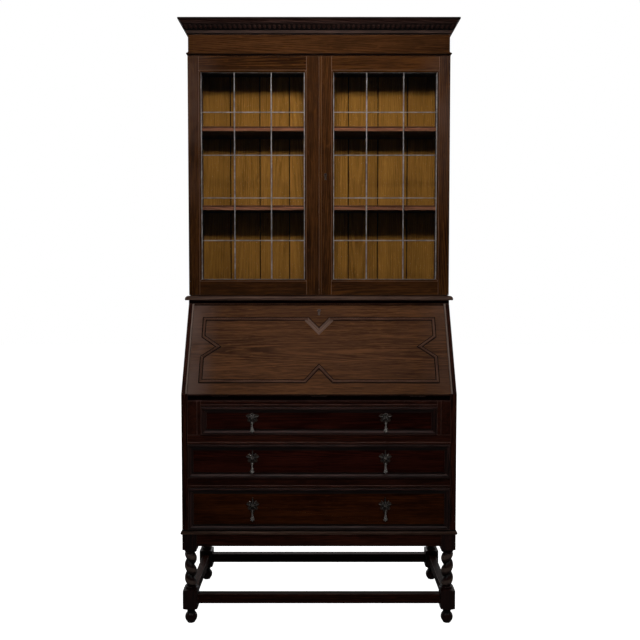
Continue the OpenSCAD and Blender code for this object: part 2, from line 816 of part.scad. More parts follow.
// The drawers: half width of the opening, its height over the floor and its own height
drawers = [[partition_x, drawer1_z, drawer1_h], [half_in, drawer2_z, drawer2_h],
           [half_in, drawer3_z, drawer3_h]];
function drawer_half(i) = drawers[i][0] - side_gap;
function drawer_low(i) = drawers[i][1] + run_gap;
function drawer_high(i) = drawers[i][1] + drawers[i][2] - run_gap;
function drawer_mid(i) = drawers[i][1] + drawers[i][2] / 2;
function plate_z(i) = min(drawer_mid(i) + plate_up,
                          drawer_high(i) - drawer_edge - drawer_mould_w - plate_top - glue);
function pin_z(i) = plate_z(i) - pin_low;

drawer_groove = 5;
bottom_up = 8;
// Width of the eye of a drop and of the slot that it swings in, and the stem's radius
eye_w = 4.2;
slot_w = eye_w + 0.8;
stem_r = 1.7;
// Radius of the lobe at the top of a handle plate, and the height of the lobe's top
top_lobe_r = 6;
plate_top = 8.5 + top_lobe_r;

// The bottom of a drawer; room is the glue line that its groove leaves
module drawer_bottom(i, room) {
    inner = drawer_half(i) - box_in - drawer_side_t;
    z = drawer_low(i) + bottom_up;
    cross_board(inner + drawer_groove + room, front_t - drawer_groove - room,
                drawer_l + room, z - room, z + drawer_bottom_t + room);
}

module drawer_front(i) color(oak) difference() {
    cross_board(drawer_half(i), 0, front_t, drawer_low(i), drawer_high(i));
    drawer_bottom(i, glue);
    both_sides() on_front(handle_x, front_t + 1, plate_z(i))
        cylinder(d = bolt_d, h = front_t + 2);
}

module drawer_box(i) color(oak_light) {
    half = drawer_half(i) - box_in;
    z0 = drawer_low(i);
    z1 = drawer_high(i) - side_down;
    both_sides() difference() {
        board(half - drawer_side_t, half, front_t, drawer_l, z0, z1);
        drawer_bottom(i, glue);
    }
    cross_board(half - drawer_side_t - glue, drawer_l - drawer_side_t, drawer_l,
                z0 + bottom_up + drawer_bottom_t + glue, z1);
    drawer_bottom(i, 0);
}

drawer_section = [[0, 0], [drawer_mould_w, 0], [drawer_mould_w, 1.5],
    [drawer_mould_w - 6, 2.5], [drawer_mould_w - 8, drawer_mould_t - 1.5],
    [drawer_mould_w - 12, drawer_mould_t], [2, drawer_mould_t], [0, drawer_mould_t - 2]];

module drawer_moulding(i) color(oak)
    on_front(0, 0, (drawer_low(i) + drawer_high(i)) / 2)
        mitred_frame(2 * (drawer_half(i) - drawer_edge),
                     drawer_high(i) - drawer_low(i) - 2 * drawer_edge,
                     drawer_mould_w, drawer_section);

// A cast handle plate with its bolt, nut and the slotted boss that holds the drop's pin.
// Its middle is the origin and Z runs out of the drawer
module handle_plate() {
    nut_h = 3.5;
    dome_h = 3.2;
    cylinder(r = 12, h = plate_t);
    for (side = [-1, 1]) {
        translate([side * 13, 5, 0]) cylinder(r = 7, h = plate_t);
        translate([side * 11, -9, 0]) cylinder(r = 6, h = plate_t);
    }
    translate([0, plate_top - top_lobe_r, 0]) cylinder(r = top_lobe_r, h = plate_t);
    // The bolt runs through the front and its nut sits behind
    translate([0, 0, -front_t - nut_h - 1]) cylinder(d = bolt_d, h = front_t + nut_h + 1);
    translate([0, 0, -front_t - nut_h]) cylinder(d = 2 * bolt_d + 1, h = nut_h, $fn = 6);
    translate([0, -pin_low, 0]) {
        difference() {
            union() {
                cylinder(r = boss_r, h = pin_out);
                translate([0, 0, pin_out]) intersection() {
                    sphere(r = boss_r);
                    cylinder(r = boss_r + 1, h = dome_h);
                }
            }
            // The slot for the drop's eye, open in front and below
            translate([-slot_w / 2, -boss_r - 1, plate_t])
                cube([slot_w, 2 * boss_r - 0.5, pin_out + dome_h]);
        }
        translate([1 - boss_r, 0, pin_out]) rotate([0, 90, 0])
            cylinder(d = pin_d, h = 2 * boss_r - 2);
    }
}

module drawer_plates(i) color(brass)
    for (side = [-1, 1]) on_front(side * handle_x, 0, plate_z(i)) handle_plate();

// A bell-shaped drop hanging from its pin; the pin is at the origin, along X
module drop_shape() {
    difference() {
        union() {
            translate([-eye_w / 2, 0, 0]) rotate([0, 90, 0]) cylinder(d = 5.6, h = eye_w);
            rotate_extrude() polygon([
                [0, 0], [stem_r, 0], [stem_r, -drop_l * 0.3], [drop_d * 0.2, -drop_l * 0.42],
                [drop_d * 0.32, -drop_l * 0.62], [drop_d * 0.46, -drop_l * 0.76],
                [drop_d * 0.5, -drop_l * 0.84], [drop_d * 0.44, -drop_l * 0.91],
                [drop_d * 0.2, -drop_l * 0.94], [drop_d * 0.12, -drop_l * 0.98],
                [0, -drop_l]]);
        }
        translate([-eye_w, 0, 0]) rotate([0, 90, 0])
            cylinder(d = pin_d + 2 * pin_gap, h = 2 * eye_w);
    }
}

module drop(side, i) color(brass)
    translate([side * handle_x, front_y - pin_out, pin_z(i)]) drop_shape();

module top_drawer_front() drawer_front(0);
module top_drawer_box() drawer_box(0);
module top_drawer_moulding() drawer_moulding(0);
module top_drawer_plates() drawer_plates(0);
module middle_drawer_front() drawer_front(1);
module middle_drawer_box() drawer_box(1);
module middle_drawer_moulding() drawer_moulding(1);
module middle_drawer_plates() drawer_plates(1);
module bottom_drawer_front() drawer_front(2);
module bottom_drawer_box() drawer_box(2);
module bottom_drawer_moulding() drawer_moulding(2);
module bottom_drawer_plates() drawer_plates(2);
module top_left_drop() drop(-1, 0);
module top_right_drop() drop(1, 0);
module middle_left_drop() drop(-1, 1);
module middle_right_drop() drop(1, 1);
module bottom_left_drop() drop(-1, 2);
module bottom_right_drop() drop(1, 2);

// Pegs under the ends of the shelves
module pegs() for (z = shelf_z, d = [upper_d + shelf_set + peg_set, shelf_back - peg_set])
    translate([half_in - peg_out, front_y + d, upper_z + z - peg_d / 2])
        rotate([0, 90, 0]) cylinder(d = peg_d, h = peg_out + peg_in);

// Places of the hinges on the right side of the bookcase, with the pin upright
door_hinges = [door_z + door_hinge_end, door_z + door_h / 2, door_top - door_hinge_end];

module at_case_hinges() for (z = door_hinges)
    translate([half_w, front_y + pin_depth, z]) rotate([90, -90, 0]) children();

module at_door_hinges() for (z = door_hinges)
    translate([half_w, front_y + pin_depth, z]) rotate([-90, 90, 0]) children();

module upper_side() {
    difference() {
        board(half_in, half_w, upper_d, case_d, upper_z, upper_top);
        board(half_in - 1, half_in + back_rebate, match_d, case_d + 1,
              upper_z - 1, upper_top + 1);
        pegs();
        at_case_hinges() hinge_cut(door_leaf_w, door_gap / 2);
    }
}

module upper_right_side() color(oak) upper_side();
module upper_left_side() color(oak) mirror([1, 0, 0]) upper_side();

module upper_end_boards() color(oak_light) {
    cross_board(half_in, upper_d, match_d, floor_z, floor_z + end_board_t);
    cross_board(half_in, upper_d, match_d, ceiling_z, ceiling_z + end_board_t);
    cross_board(half_w - frieze_t, upper_d, case_d, upper_top, upper_top + cover_t);
}

module shelves() color(oak_light) for (z = shelf_z)
    cross_board(half_in - run_gap, upper_d + shelf_set, shelf_back,
                upper_z + z, upper_z + z + shelf_t);

module shelf_pegs() color(brass) both_sides() pegs();

// Upright back boards, each with a tongue in the groove of the next
module upper_back_boards() color(pine) {
    w = (in_w + 2 * back_rebate) / match_n;
    tongue = 5;
    tongue_t = match_t / 3;
    for (i = [0:match_n - 1]) {
        x = -half_in - back_rebate + i * w;
        difference() {
            union() {
                board(x, x + w - match_gap, match_d, case_d, upper_z, upper_top);
                if (i < match_n - 1)
                    board(x + w - match_gap, x + w + tongue - match_gap,
                          match_d + tongue_t, match_d + 2 * tongue_t, upper_z, upper_top);
            }
            if (i > 0)
                board(x - 1, x + tongue, match_d + tongue_t - glue,
                      match_d + 2 * tongue_t + glue, upper_z - 1, upper_top + 1);
        }
    }
}

// The waist moulding is planted on the case sides and fills the front up to the case
module waist_moulding() color(oak) {
    section = concat([[0, waist_h], [0, 0], [waist_out, 0]],
                     [for (q = quarter(waist_out, 3, waist_h, 7)) if (q[0] > 0.01) q]);
    three_sided(section, door_front, upper_z, case_d);
    cross_board(half_w - glue, door_front, upper_d, upper_z, floor_z);
}

// The frieze board with the astragal planted on its lower edge and along the sides
module frieze() color(oak) {
    section = concat([[glue, astragal_h], [glue, 0], [astragal_out * 0.4, 0]],
                     [for (a = [-30:30:90]) [astragal_out * 0.5 + astragal_out * 0.5 * cos(a),
                      astragal_h * 0.62 + astragal_h * 0.38 * sin(a)]]);
    cross_board(half_w, frieze_d, upper_d, frieze_z, upper_top);
    three_sided(section, frieze_d, frieze_z, case_d);
}

module cornice() color(oak) {
    h = cornice_h;
    p = cornice_out;
    cove = [for (i = [0:5]) [p * 0.55 + p * 0.33 * (1 - cos(18 * i)),
                             h * 0.7 + h * 0.2 * sin(18 * i)]];
    section = concat([[-frieze_t, h], [-frieze_t, 0], [p * 0.08, 0], [p * 0.12, h * 0.1],
        [p * 0.3, h * 0.3], [p * 0.36, h * 0.33], [p * 0.42, h * 0.5], [p * 0.52, h * 0.66]],
        cove, [[p, h * 0.9], [p, h]]);
    three_sided(section, frieze_d, upper_top, case_d);
}

module door_hinge_fixed_leaves() color(brass) both_sides()
    at_case_hinges() hinge_leaf(door_leaf_w, true, door_gap / 2);

// The rebate that the leaded panel and its beads lie in
module door_rebate() {
    board(sight_x0 - rebate_w, sight_x1 + rebate_w, glass_d, door_back + 1,
          sight_z0 - rebate_w, sight_z1 + rebate_w);
}

tenon_d = door_front + 2.5;

// A rail's two tenons; room is the glue line that their mortises leave
module door_tenons(z, room) {
    board(meeting_gap / 2 + meeting_w - door_tenon_l - room,
          half_w - stile_w + door_tenon_l + room, tenon_d - room,
          tenon_d + door_tenon_t + room, z + 8 - room, z + door_rail_h - 8 + room);
}

// Frame of the right door: two stiles, two tenoned rails, the moulding round the glass
// and the beads that hold the glass from behind
module door_frame() {
    x0 = meeting_gap / 2;
    rails = [door_z, door_top - door_rail_h];
    difference() {
        union() {
            board(x0, x0 + meeting_w, door_front, door_back, door_z, door_top);
            board(half_w - stile_w, half_w, door_front, door_back, door_z, door_top);
        }
        door_rebate();
        for (z = rails) door_tenons(z, glue);
        at_door_hinges() hinge_cut(door_leaf_w, door_gap / 2);
    }
    for (z = rails) difference() {
        union() {
            board(x0 + meeting_w + glue, half_w - stile_w - glue, door_front, door_back,
                  z, z + door_rail_h);
            door_tenons(z, 0);
        }
        door_rebate();
    }
    mid_x = (sight_x0 + sight_x1) / 2;
    mid_z = (sight_z0 + sight_z1) / 2;
    sight_d = glass_d - door_front;
    on_front(mid_x, glass_d, mid_z)
        mitred_frame(sight_x1 - sight_x0 - 2 * glue, sight_z1 - sight_z0 - 2 * glue, sight_w,
                     concat([[0, 0], [sight_w, 0]],
                            [for (i = [0:5]) [sight_w * cos(18 * i),
                             2 + (sight_d - 3) * sin(18 * i)]]));
    on_front(mid_x, door_back, mid_z)
        mitred_frame(sight_x1 - sight_x0 + 2 * rebate_w - 2 * glue,
                     sight_z1 - sight_z0 + 2 * rebate_w - 2 * glue, rebate_w,
                     [[0, 0], [rebate_w, 0], [rebate_w, rebate_d - lead_t - glue],
                      [0, rebate_d - lead_t - glue]]);
}

module right_door_frame() color(oak) {
    difference() {
        door_frame();
        at_door_lock() {
            lock_box(door_lock_w, door_lock_h, door_t);
            key_way(door_t);
        }
    }
    board(meeting_gap / 2, meeting_gap / 2 + meeting_bead_w, door_front - meeting_bead_out,
          door_front - glue, door_z, door_top);
}

module left_door_frame() color(oak) mirror([1, 0, 0]) door_frame();

pane_w = (panel_x1 - panel_x0 - (pane_cols + 1) * heart_t) / pane_cols;
pane_h = (panel_z1 - panel_z0 - (pane_rows + 1) * heart_t) / pane_rows;
pane_d = glass_d + (lead_t - glass_t) / 2;

// The panes, set into the grooves of the lead
module panes() for (i = [0:pane_cols - 1], j = [0:pane_rows - 1]) {
    x = panel_x0 + heart_t + i * (pane_w + heart_t);
    z = panel_z0 + heart_t + j * (pane_h + heart_t);
    board(x, x + pane_w, pane_d, pane_d + glass_t, z, z + pane_h);
}

// The lead strips with their flanges, minus the panes in their grooves. The strips at
// the edge reach past the frame's small moulding, so that a line of lead shows
module leading() {
    edge = sight_x0 - panel_x0 + sight_w + lead_edge;
    half = lead_w / 2;
    difference() {
        board(panel_x0, panel_x1, glass_d, glazing_d, panel_z0, panel_z1);
        for (i = [0:pane_cols - 1], j = [0:pane_rows - 1]) {
            x = panel_x0 + heart_t / 2 + i * (pane_w + heart_t);
            z = panel_z0 + heart_t / 2 + j * (pane_h + heart_t);
            x0 = i == 0 ? panel_x0 + edge : x + half;
            x1 = i == pane_cols - 1 ? panel_x1 - edge : x + pane_w + heart_t - half;
            z0 = j == 0 ? panel_z0 + edge : z + half;
            z1 = j == pane_rows - 1 ? panel_z1 - edge : z + pane_h + heart_t - half;
            board(x0, x1, glass_d - 1, glazing_d + 1, z0, z1);
        }
        panes();
    }
}

module right_door_leading() color(lead) leading();
module left_door_leading() color(lead) mirror([1, 0, 0]) leading();
module right_door_glass() color("lightgrey", 0.3) panes();
module left_door_glass() color("lightgrey", 0.3) mirror([1, 0, 0]) panes();
module right_door_hinge_leaves() color(brass)
    at_door_hinges() hinge_leaf(door_leaf_w, false, door_gap / 2);
module left_door_hinge_leaves() color(brass) mirror([1, 0, 0])
    at_door_hinges() hinge_leaf(door_leaf_w, false, door_gap / 2);

// Keyhole plate on the right door's meeting stile and the lock's box behind it
module at_door_lock() on_front(lock_x, door_front, lock_z) children();
module door_lock() color(brass) at_door_lock() {
    keyhole_plate();
    lock_box(door_lock_w, door_lock_h, door_t);
}

front_left_leg();
front_right_leg();
rear_left_leg();
rear_right_leg();
stretchers();
stand_rails();
base_moulding();
lower_left_side();
lower_right_side();
lower_back_panel();
drawer_rails();
drawer_runners();
loper_partitions();
writing_board();
bureau_top();
pigeonholes();
upper_left_side();
upper_right_side();
upper_end_boards();
upper_back_boards();
shelves();
shelf_pegs();
waist_moulding();
frieze();
cornice();
door_hinge_fixed_leaves();
fall_hinge_fixed_leaves();
fall_panel();
fall_moulding();
fall_lock();
fall_hinge_moving_leaves();
left_loper();
right_loper();
top_drawer_front();
top_drawer_box();
top_drawer_moulding();
top_drawer_plates();
middle_drawer_front();
middle_drawer_box();
middle_drawer_moulding();
middle_drawer_plates();
bottom_drawer_front();
bottom_drawer_box();
bottom_drawer_moulding();
bottom_drawer_plates();
top_left_drop();
top_right_drop();
middle_left_drop();
middle_right_drop();
bottom_left_drop();
bottom_right_drop();
left_door_frame();
left_door_leading();
left_door_glass();
left_door_hinge_leaves();
right_door_frame();
right_door_leading();
right_door_glass();
right_door_hinge_leaves();
door_lock();
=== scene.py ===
# %% [markdown]
# # A bureau bookcase in dark oak
#
# The real piece stands on four twist-turned legs. Three drawers and a sloping writing fall
# make the bureau, and a bookcase with leaded glass doors stands on it. The imported CAD model
# already has every board at its true size, so this lesson dresses it: boards get soft
# edges, mouldings and turned parts are worked out again as smooth surfaces, and every
# surface gets a material made of nodes. The first cell loads the frame.

# %% Load the frame
import json
from math import atan2, pi, radians

import bmesh
import bpy
import numpy as np
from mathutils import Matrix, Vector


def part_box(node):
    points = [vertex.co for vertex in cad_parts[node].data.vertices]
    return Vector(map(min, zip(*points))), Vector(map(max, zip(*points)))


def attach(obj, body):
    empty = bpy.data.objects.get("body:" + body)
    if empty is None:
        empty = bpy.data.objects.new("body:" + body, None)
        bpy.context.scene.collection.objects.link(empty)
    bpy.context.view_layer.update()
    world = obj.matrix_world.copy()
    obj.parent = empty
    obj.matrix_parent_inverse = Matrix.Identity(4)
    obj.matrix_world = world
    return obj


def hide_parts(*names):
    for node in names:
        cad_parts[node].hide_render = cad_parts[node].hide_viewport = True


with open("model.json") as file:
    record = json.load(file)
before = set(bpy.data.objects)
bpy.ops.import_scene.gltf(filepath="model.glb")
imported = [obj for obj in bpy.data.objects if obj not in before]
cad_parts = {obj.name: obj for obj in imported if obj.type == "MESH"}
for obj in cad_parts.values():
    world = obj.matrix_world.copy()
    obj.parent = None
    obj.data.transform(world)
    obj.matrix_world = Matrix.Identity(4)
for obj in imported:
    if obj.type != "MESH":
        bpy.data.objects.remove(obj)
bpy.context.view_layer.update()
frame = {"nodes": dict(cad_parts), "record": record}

MM = 0.001
NODES = frame["nodes"]
BODY = {node: body for body, nodes in frame["record"]["behaviour"]["bodies"].items()
        for node in nodes}

# %% [markdown]
# ## The main sizes
#
# A cabinet maker writes a cutting list before the first cut. These are the places that
# several pieces share, in millimetres: depths are counted back from the front of the
# bureau, and `at` turns a place across, a depth and a height into a point in metres.

# %% Shared sizes
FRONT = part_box("top_drawer_front")[0].y / MM
HALF_W, HALF_IN, CASE_D = 457.5, 438.5, 400.0  # half the bureau outside and inside, its depth
DOOR_D, FRIEZE_D = 167.7, 180.0  # how far back the doors and the frieze lie
STAND_H, LEG_SQ = 308.0, 48.0  # height of the stand, thickness of a leg's square blocks
LEG_X, REAR_LEG_D = 433.5, 376.0  # the legs' places across, and how far back the rear ones are
WAIST_Z, BEAD_Z, CORNICE_Z = 1085.18, 1941.18, 2011.18  # feet of the bookcase's mouldings
BOARD_TOP, FALL_T = 772.0, 15.0  # top of the writing board, thickness of the fall
SLOPE_D, SLOPE_H = 160.0, 293.5  # the slope goes this far back while it rises
SLOPE_L = 333.0  # length of the bead beside the fall
SLOPE = atan2(SLOPE_H, SLOPE_D)
FALL_Z = BOARD_TOP + FALL_T * np.cos(SLOPE)


def at(x, depth, z):
    """A point in metres from a place across, a depth behind the front and a height, in mm."""
    return np.stack(np.broadcast_arrays(x, FRONT + depth, z), -1) * MM


def on_fall(x, up, out):
    """A point on the sloping fall: across, up the slope and out of its face, in mm.
    y = front + up cos(slope) - out sin(slope), z = foot + up sin(slope) + out cos(slope)."""
    y = up * np.cos(SLOPE) - out * np.sin(SLOPE)
    return at(x, y, FALL_Z + up * np.sin(SLOPE) + out * np.cos(SLOPE))


print(f"front plane at y = {FRONT:.1f} mm, fall at {np.degrees(SLOPE):.1f} degrees")

# %% [markdown]
# ## The camera
#
# The photograph was taken from a little over half the bookcase's height, with the piece
# nearly filling the picture. Focal length, height and tilt were worked out from the piece's
# own straight edges: the sides, drawers, doors and stretchers. Blender measures the lens
# against a 36 mm sensor, so a focal length in pixels becomes one in millimetres. A small
# shift slides the picture in its frame and leaves the perspective alone.

# %% Camera
PICTURE, FOCAL_PX = 640, 739.5
CAMERA_D, CAMERA_Z, TILT = 2437.8, 1.1923, 2.5  # mm before the front, m high, degrees down
lens = bpy.data.cameras.new("camera")
lens.sensor_width = 36
lens.lens = lens.sensor_width * FOCAL_PX / PICTURE
lens.shift_x, lens.shift_y = 0.0016, -0.0281
camera = bpy.data.objects.new("camera", lens)
camera.location = (0, (FRONT - CAMERA_D) * MM, CAMERA_Z)
camera.rotation_euler = (radians(90 - TILT), 0, 0)
bpy.context.collection.objects.link(camera)
bpy.context.scene.camera = camera
print(f"a {lens.lens:.1f} mm lens, {-camera.location.y:.2f} m in front")

# %% [markdown]
# ## Sums with nodes
#
# A material is a graph of nodes, and long graphs are hard to read when every link is made
# by hand. `Wire` wraps one socket and teaches it arithmetic: `1 - mask` adds a Math node,
# and as soon as one side is a vector it adds a Vector Math node. Everything else
# comes from one method, `node`, which sets the node's own settings first, then its sockets.


# %% Wires
class Wire:
    """A node's socket that can stand in a sum."""

    def __init__(self, tree, socket):
        self.tree, self.socket = tree, socket

    def sum(self, operation, a, b):
        """A Math node, or a Vector Math node if one side is a vector."""
        flat = all(not isinstance(x, Wire) or x.socket.type != "VECTOR" for x in (a, b))
        kind = "ShaderNodeMath" if flat else "ShaderNodeVectorMath"
        return self.tree.node(kind, {"operation": operation}, {0: a, 1: b})

    def __add__(self, other): return self.sum("ADD", self, other)
    def __radd__(self, other): return self.sum("ADD", other, self)
    def __sub__(self, other): return self.sum("SUBTRACT", self, other)
    def __rsub__(self, other): return self.sum("SUBTRACT", other, self)
    def __mul__(self, other): return self.sum("MULTIPLY", self, other)
    def __rmul__(self, other): return self.sum("MULTIPLY", other, self)


print("a wire can be added, subtracted and multiplied")


# %% Trees of nodes
class Tree:
    """The node tree of a material or of the world."""

    def __init__(self, owner):
        owner.use_nodes = True
        self.owner, self.nodes, self.links = owner, owner.node_tree.nodes, owner.node_tree.links
        self.nodes.clear()

    def node(self, kind, settings=(), sockets=(), out=0):
        """A new node with its settings, then the values or links of its sockets, and the
        Wire of one output."""
        made = self.nodes.new(kind)
        for key, value in dict(settings).items():
            setattr(made, key, value)
        for key, value in dict(sockets).items():
            socket = made.inputs[key]
            if isinstance(value, Wire):
                self.links.new(value.socket, socket)
            elif socket.type == "VECTOR" and isinstance(value, (int, float)):
                socket.default_value = (value,) * 3
            elif socket.type == "RGBA":
                socket.default_value = (*value[:3], 1)
            else:
                socket.default_value = value
        return Wire(self, made.outputs[out])

    def mix(self, share, a, b):
        """Colour a turned into colour b by share, from 0 to 1."""
        return self.node("ShaderNodeMix", {"data_type": "RGBA"}, {0: share, 6: a, 7: b}, out=2)

    def ease(self, x, low, high):
        """0 below low, 1 above high and an S-shaped rise between."""
        return self.node("ShaderNodeMapRange", {"interpolation_type": "SMOOTHSTEP"},
                         {"Value": x, "From Min": low, "From Max": high})

    def part(self, vector, axis):
        """The X, Y or Z of a vector."""
        return self.node("ShaderNodeSeparateXYZ", {}, {0: vector}, out=axis)

    def cloud(self, place, scale, detail=2.0, rough=0.5):
        """Noise from 0 to 1 at a place, with scale lumps to the metre."""
        return self.node("ShaderNodeTexNoise", {}, {
            "Vector": place, "Scale": scale, "Detail": detail, "Roughness": rough})

    def ray(self, fact):
        """What Light Path knows of a ray, such as Is Camera Ray or Glossy Depth."""
        return self.node("ShaderNodeLightPath", out=fact)

    def maths(self, operation, *values):
        """A Math node, for what has no sign of its own, such as SINE or MINIMUM."""
        return self.node("ShaderNodeMath", {"operation": operation}, enumerate(values))

    def fact(self, name, out="Fac"):
        """What a mesh says of its vertices, such as grain or soil."""
        return self.node("ShaderNodeAttribute", {"attribute_name": name}, out=out)

    def bump(self, strength, distance, height):
        """A fine relief of a height between 0 and 1, distance metres deep."""
        return self.node("ShaderNodeBump", {}, {
            "Strength": strength, "Distance": distance, "Height": height})

    def finish(self, surface):
        """Joins a shader to the output, and returns the material or world."""
        kind = "World" if isinstance(self.owner, bpy.types.World) else "Material"
        self.links.new(surface.socket, self.nodes.new("ShaderNodeOutput" + kind).inputs["Surface"])
        return self.owner


print("a tree makes nodes and sums")

# %% [markdown]
# ## Light, floor and background
#
# Such a piece is lit by soft lamps from above and in front, so that the cornice, doors and
# fall catch the light and the drawers fall into shade. Eight area lamps do that: one close
# over the bookcase, two at the front corners, one over the writing fall, a weak one for the
# stand, and three that keep the sides and the back from going black. The world adds a
# little light from all round. The background is white only for the camera, for what is
# seen through glass and half as much for what polish mirrors from behind the piece, so that
# it puts no light on the wood. In front of the piece the room stays dim, because polished
# dark wood mirrors whatever stands there.

# %% World
world = bpy.data.worlds.new("studio")
bpy.context.scene.world = world
sky = Tree(world)
AMBIENT, ROOM = 0.03, 0.015  # the light from overhead, and from all round
MIRRORED, GLOW = 0.5, 0.5  # the share of room and background that polish mirrors
direction = sky.node("ShaderNodeTexCoord", out="Generated")
behind = sky.ease(sky.part(direction, "Y"), -0.05, 0.45)
unscattered, unmirrored = (sky.maths("LESS_THAN", sky.ray(n), 0.5)
                           for n in ("Diffuse Depth", "Glossy Depth"))
through = sky.ray("Is Transmission Ray") * unmirrored
seen = sky.ray("Is Camera Ray") + unscattered * (through + (1 - unmirrored) * behind * GLOW)
overhead = sky.ease(sky.part(direction, "Z"), -0.2, 0.9) * AMBIENT + ROOM
overhead = overhead * (MIRRORED + unmirrored * (1 - MIRRORED))
bright = sky.maths("MINIMUM", seen, 1.0)
level = bright + (1 - bright) * overhead
sky.finish(sky.node("ShaderNodeBackground", {}, {"Color": (1, 1, 1), "Strength": level}))
print("a white background behind, a dim room in front")


# %% Lamps
def lamp(name, place, target, size, watts, beam=180, mirrored=True):
    """An area lamp at a place in metres, turned towards a target. beam is the full angle
    of its light, as with a honeycomb in front of it, and a lamp that isn't mirrored stays
    out of the glass."""
    data = bpy.data.lights.new(name, "AREA")
    data.shape, data.size, data.size_y, data.energy = "RECTANGLE", size[0], size[1], watts
    data.spread = radians(beam)
    made = bpy.data.objects.new(name, data)
    made.location = place
    x, y, z = np.subtract(target, place)
    made.rotation_euler = (atan2(np.hypot(x, y), -z), 0, atan2(y, x) - pi / 2)
    made.visible_glossy = made.visible_transmission = mirrored
    bpy.context.collection.objects.link(made)
    return made


lamps = [
    lamp("key", (0.0, -1.24, 2.02), (0, 0, 1.76), (0.30, 0.16), 7.2, 105, mirrored=False),
    lamp("left", (-1.6, -1.9, 2.4), (0, 0, 1.3), (0.25, 0.35), 2.2, 110),
    lamp("right", (1.6, -1.9, 2.4), (0, 0, 1.3), (0.25, 0.35), 1.6, 110),
    lamp("top", (0.0, -1.7, 2.9), (0, 0, 0.8), (1.6, 0.4), 1.5, 100),
    lamp("low", (0.0, -2.1, 1.45), (0, 0, 0.38), (0.5, 0.3), 1.3, 60, mirrored=False),
    lamp("back", (0, 3.2, 2.6), (0, 0, 1.2), (2.4, 1.6), 30),
    lamp("left side", (-3.2, 0.7, 2.2), (-0.45, 0, 1.1), (1.6, 2.0), 26, mirrored=False),
    lamp("right side", (3.2, 0.7, 2.2), (0.45, 0, 1.1), (1.6, 2.0), 26, mirrored=False),
]
print(len(lamps), "lamps")

# %% [markdown]
# The floor is a plain pale sheet. For the camera, and through the glass, it glows just
# enough to come out white. Every other ray meets a grey floor, so that the white puts no
# light on the stand.

# %% Floor
REACH = 9  # metres from the middle to each edge
floor_mesh = bpy.data.meshes.new("floor")
corners = [(x * REACH, y * REACH, 0) for x, y in ((-1, -1), (1, -1), (1, 1), (-1, 1))]
floor_mesh.from_pydata(corners, [], [(0, 1, 2, 3)])
floor = bpy.data.objects.new("floor", floor_mesh)
bpy.context.collection.objects.link(floor)
sheet = Tree(bpy.data.materials.new("pale floor"))
paper = sheet.node("ShaderNodeBsdfPrincipled", {}, {
    "Base Color": (0.8, 0.8, 0.8), "Roughness": 0.8, "Specular IOR Level": 0.1})
glow = sheet.node("ShaderNodeEmission", {}, {"Color": (1, 1, 1), "Strength": 1.0})
white = sheet.node("ShaderNodeAddShader", {}, {0: paper, 1: glow})
grey = sheet.node("ShaderNodeBsdfDiffuse", {}, {"Color": (0.2, 0.2, 0.2)})
straight = sheet.maths("LESS_THAN", sheet.ray("Diffuse Depth") + sheet.ray("Glossy Depth"), 0.5)
through_glass = sheet.ray("Is Transmission Ray") * straight
in_view = sheet.maths("MINIMUM", sheet.ray("Is Camera Ray") + through_glass, 1.0)
floor_mesh.materials.append(sheet.finish(
    sheet.node("ShaderNodeMixShader", {}, {0: in_view, 1: grey, 2: white})))
print("floor", tuple(round(v, 1) for v in floor.dimensions))

# %% [markdown]
# ## Surfaces from formulas
#
# Every new piece is a grid of points worked out by numpy at once. `patch` turns a grid of
# rows and columns into faces, and `build` puts arrays into a mesh. Four facts go with every
# vertex. Three are the wood's, because a sawn board has its own grain: `grain` is the
# direction along the board, `pith` a point on the middle of the tree that it was cut from,
# and `board` a number that makes it unlike its neighbour. The fourth is `shade_and_tarnish`:
# on wood, 1 is painted shade, black in grooves, creases and along moulding edges, 0 is plain,
# and -1 is paler, a painted highlight on crests and beads; on brass, 1 is tarnish in the hollows.


# %% Grids
def unit(v):
    """Vectors divided by their own length."""
    v = np.asarray(v, float)
    return v / np.linalg.norm(v, axis=-1, keepdims=True)


def patch(rows, columns, around=False, closed=False, first=0):
    """Four-sided faces between neighbours of a grid. around joins the last row to the
    first and closed the last column to the first."""
    r = np.arange(rows if around else rows - 1)[:, None]
    c = np.arange(columns if closed else columns - 1)[None]
    r1, c1 = (r + 1) % rows, (c + 1) % columns
    corners = r * columns + c, r1 * columns + c, r1 * columns + c1, r * columns + c1
    faces = np.stack(np.broadcast_arrays(*corners), -1)
    return (faces.reshape(-1, 4) + first).tolist()


def tube(rows, columns, first=0):
    """Faces of a grid whose rows are rings, with a flat face over each end."""
    ends = [list(range(k, k + columns)) for k in (first, first + (rows - 1) * columns)]
    return patch(rows, columns, closed=True, first=first) + ends


print("a grid of 3 by 3 points has", len(patch(3, 3)), "faces")

# %% Meshes from arrays
rng = np.random.default_rng(1926)


def places(mesh):
    """Where the vertices of a mesh lie, as rows of an array."""
    co = np.zeros(len(mesh.vertices) * 3)
    mesh.vertices.foreach_get("co", co)
    return co.reshape(-1, 3)


def mark_wood(mesh, grain, pith, board, shade_and_tarnish=0.0):
    """Writes the four facts to every vertex, as attributes that a material can read."""
    count = len(mesh.vertices)
    for name, kind, values in (("grain", "FLOAT_VECTOR", grain), ("pith", "FLOAT_VECTOR", pith),
                               ("board", "FLOAT", board), ("shade_and_tarnish", "FLOAT", shade_and_tarnish)):
        width = 3 if kind == "FLOAT_VECTOR" else 1
        data = np.broadcast_to(np.asarray(values, np.float32).reshape(-1, width), (count, width))
        field = mesh.attributes.new(name, kind, "POINT")
        field.data.foreach_set("vector" if width == 3 else "value", data.flatten())


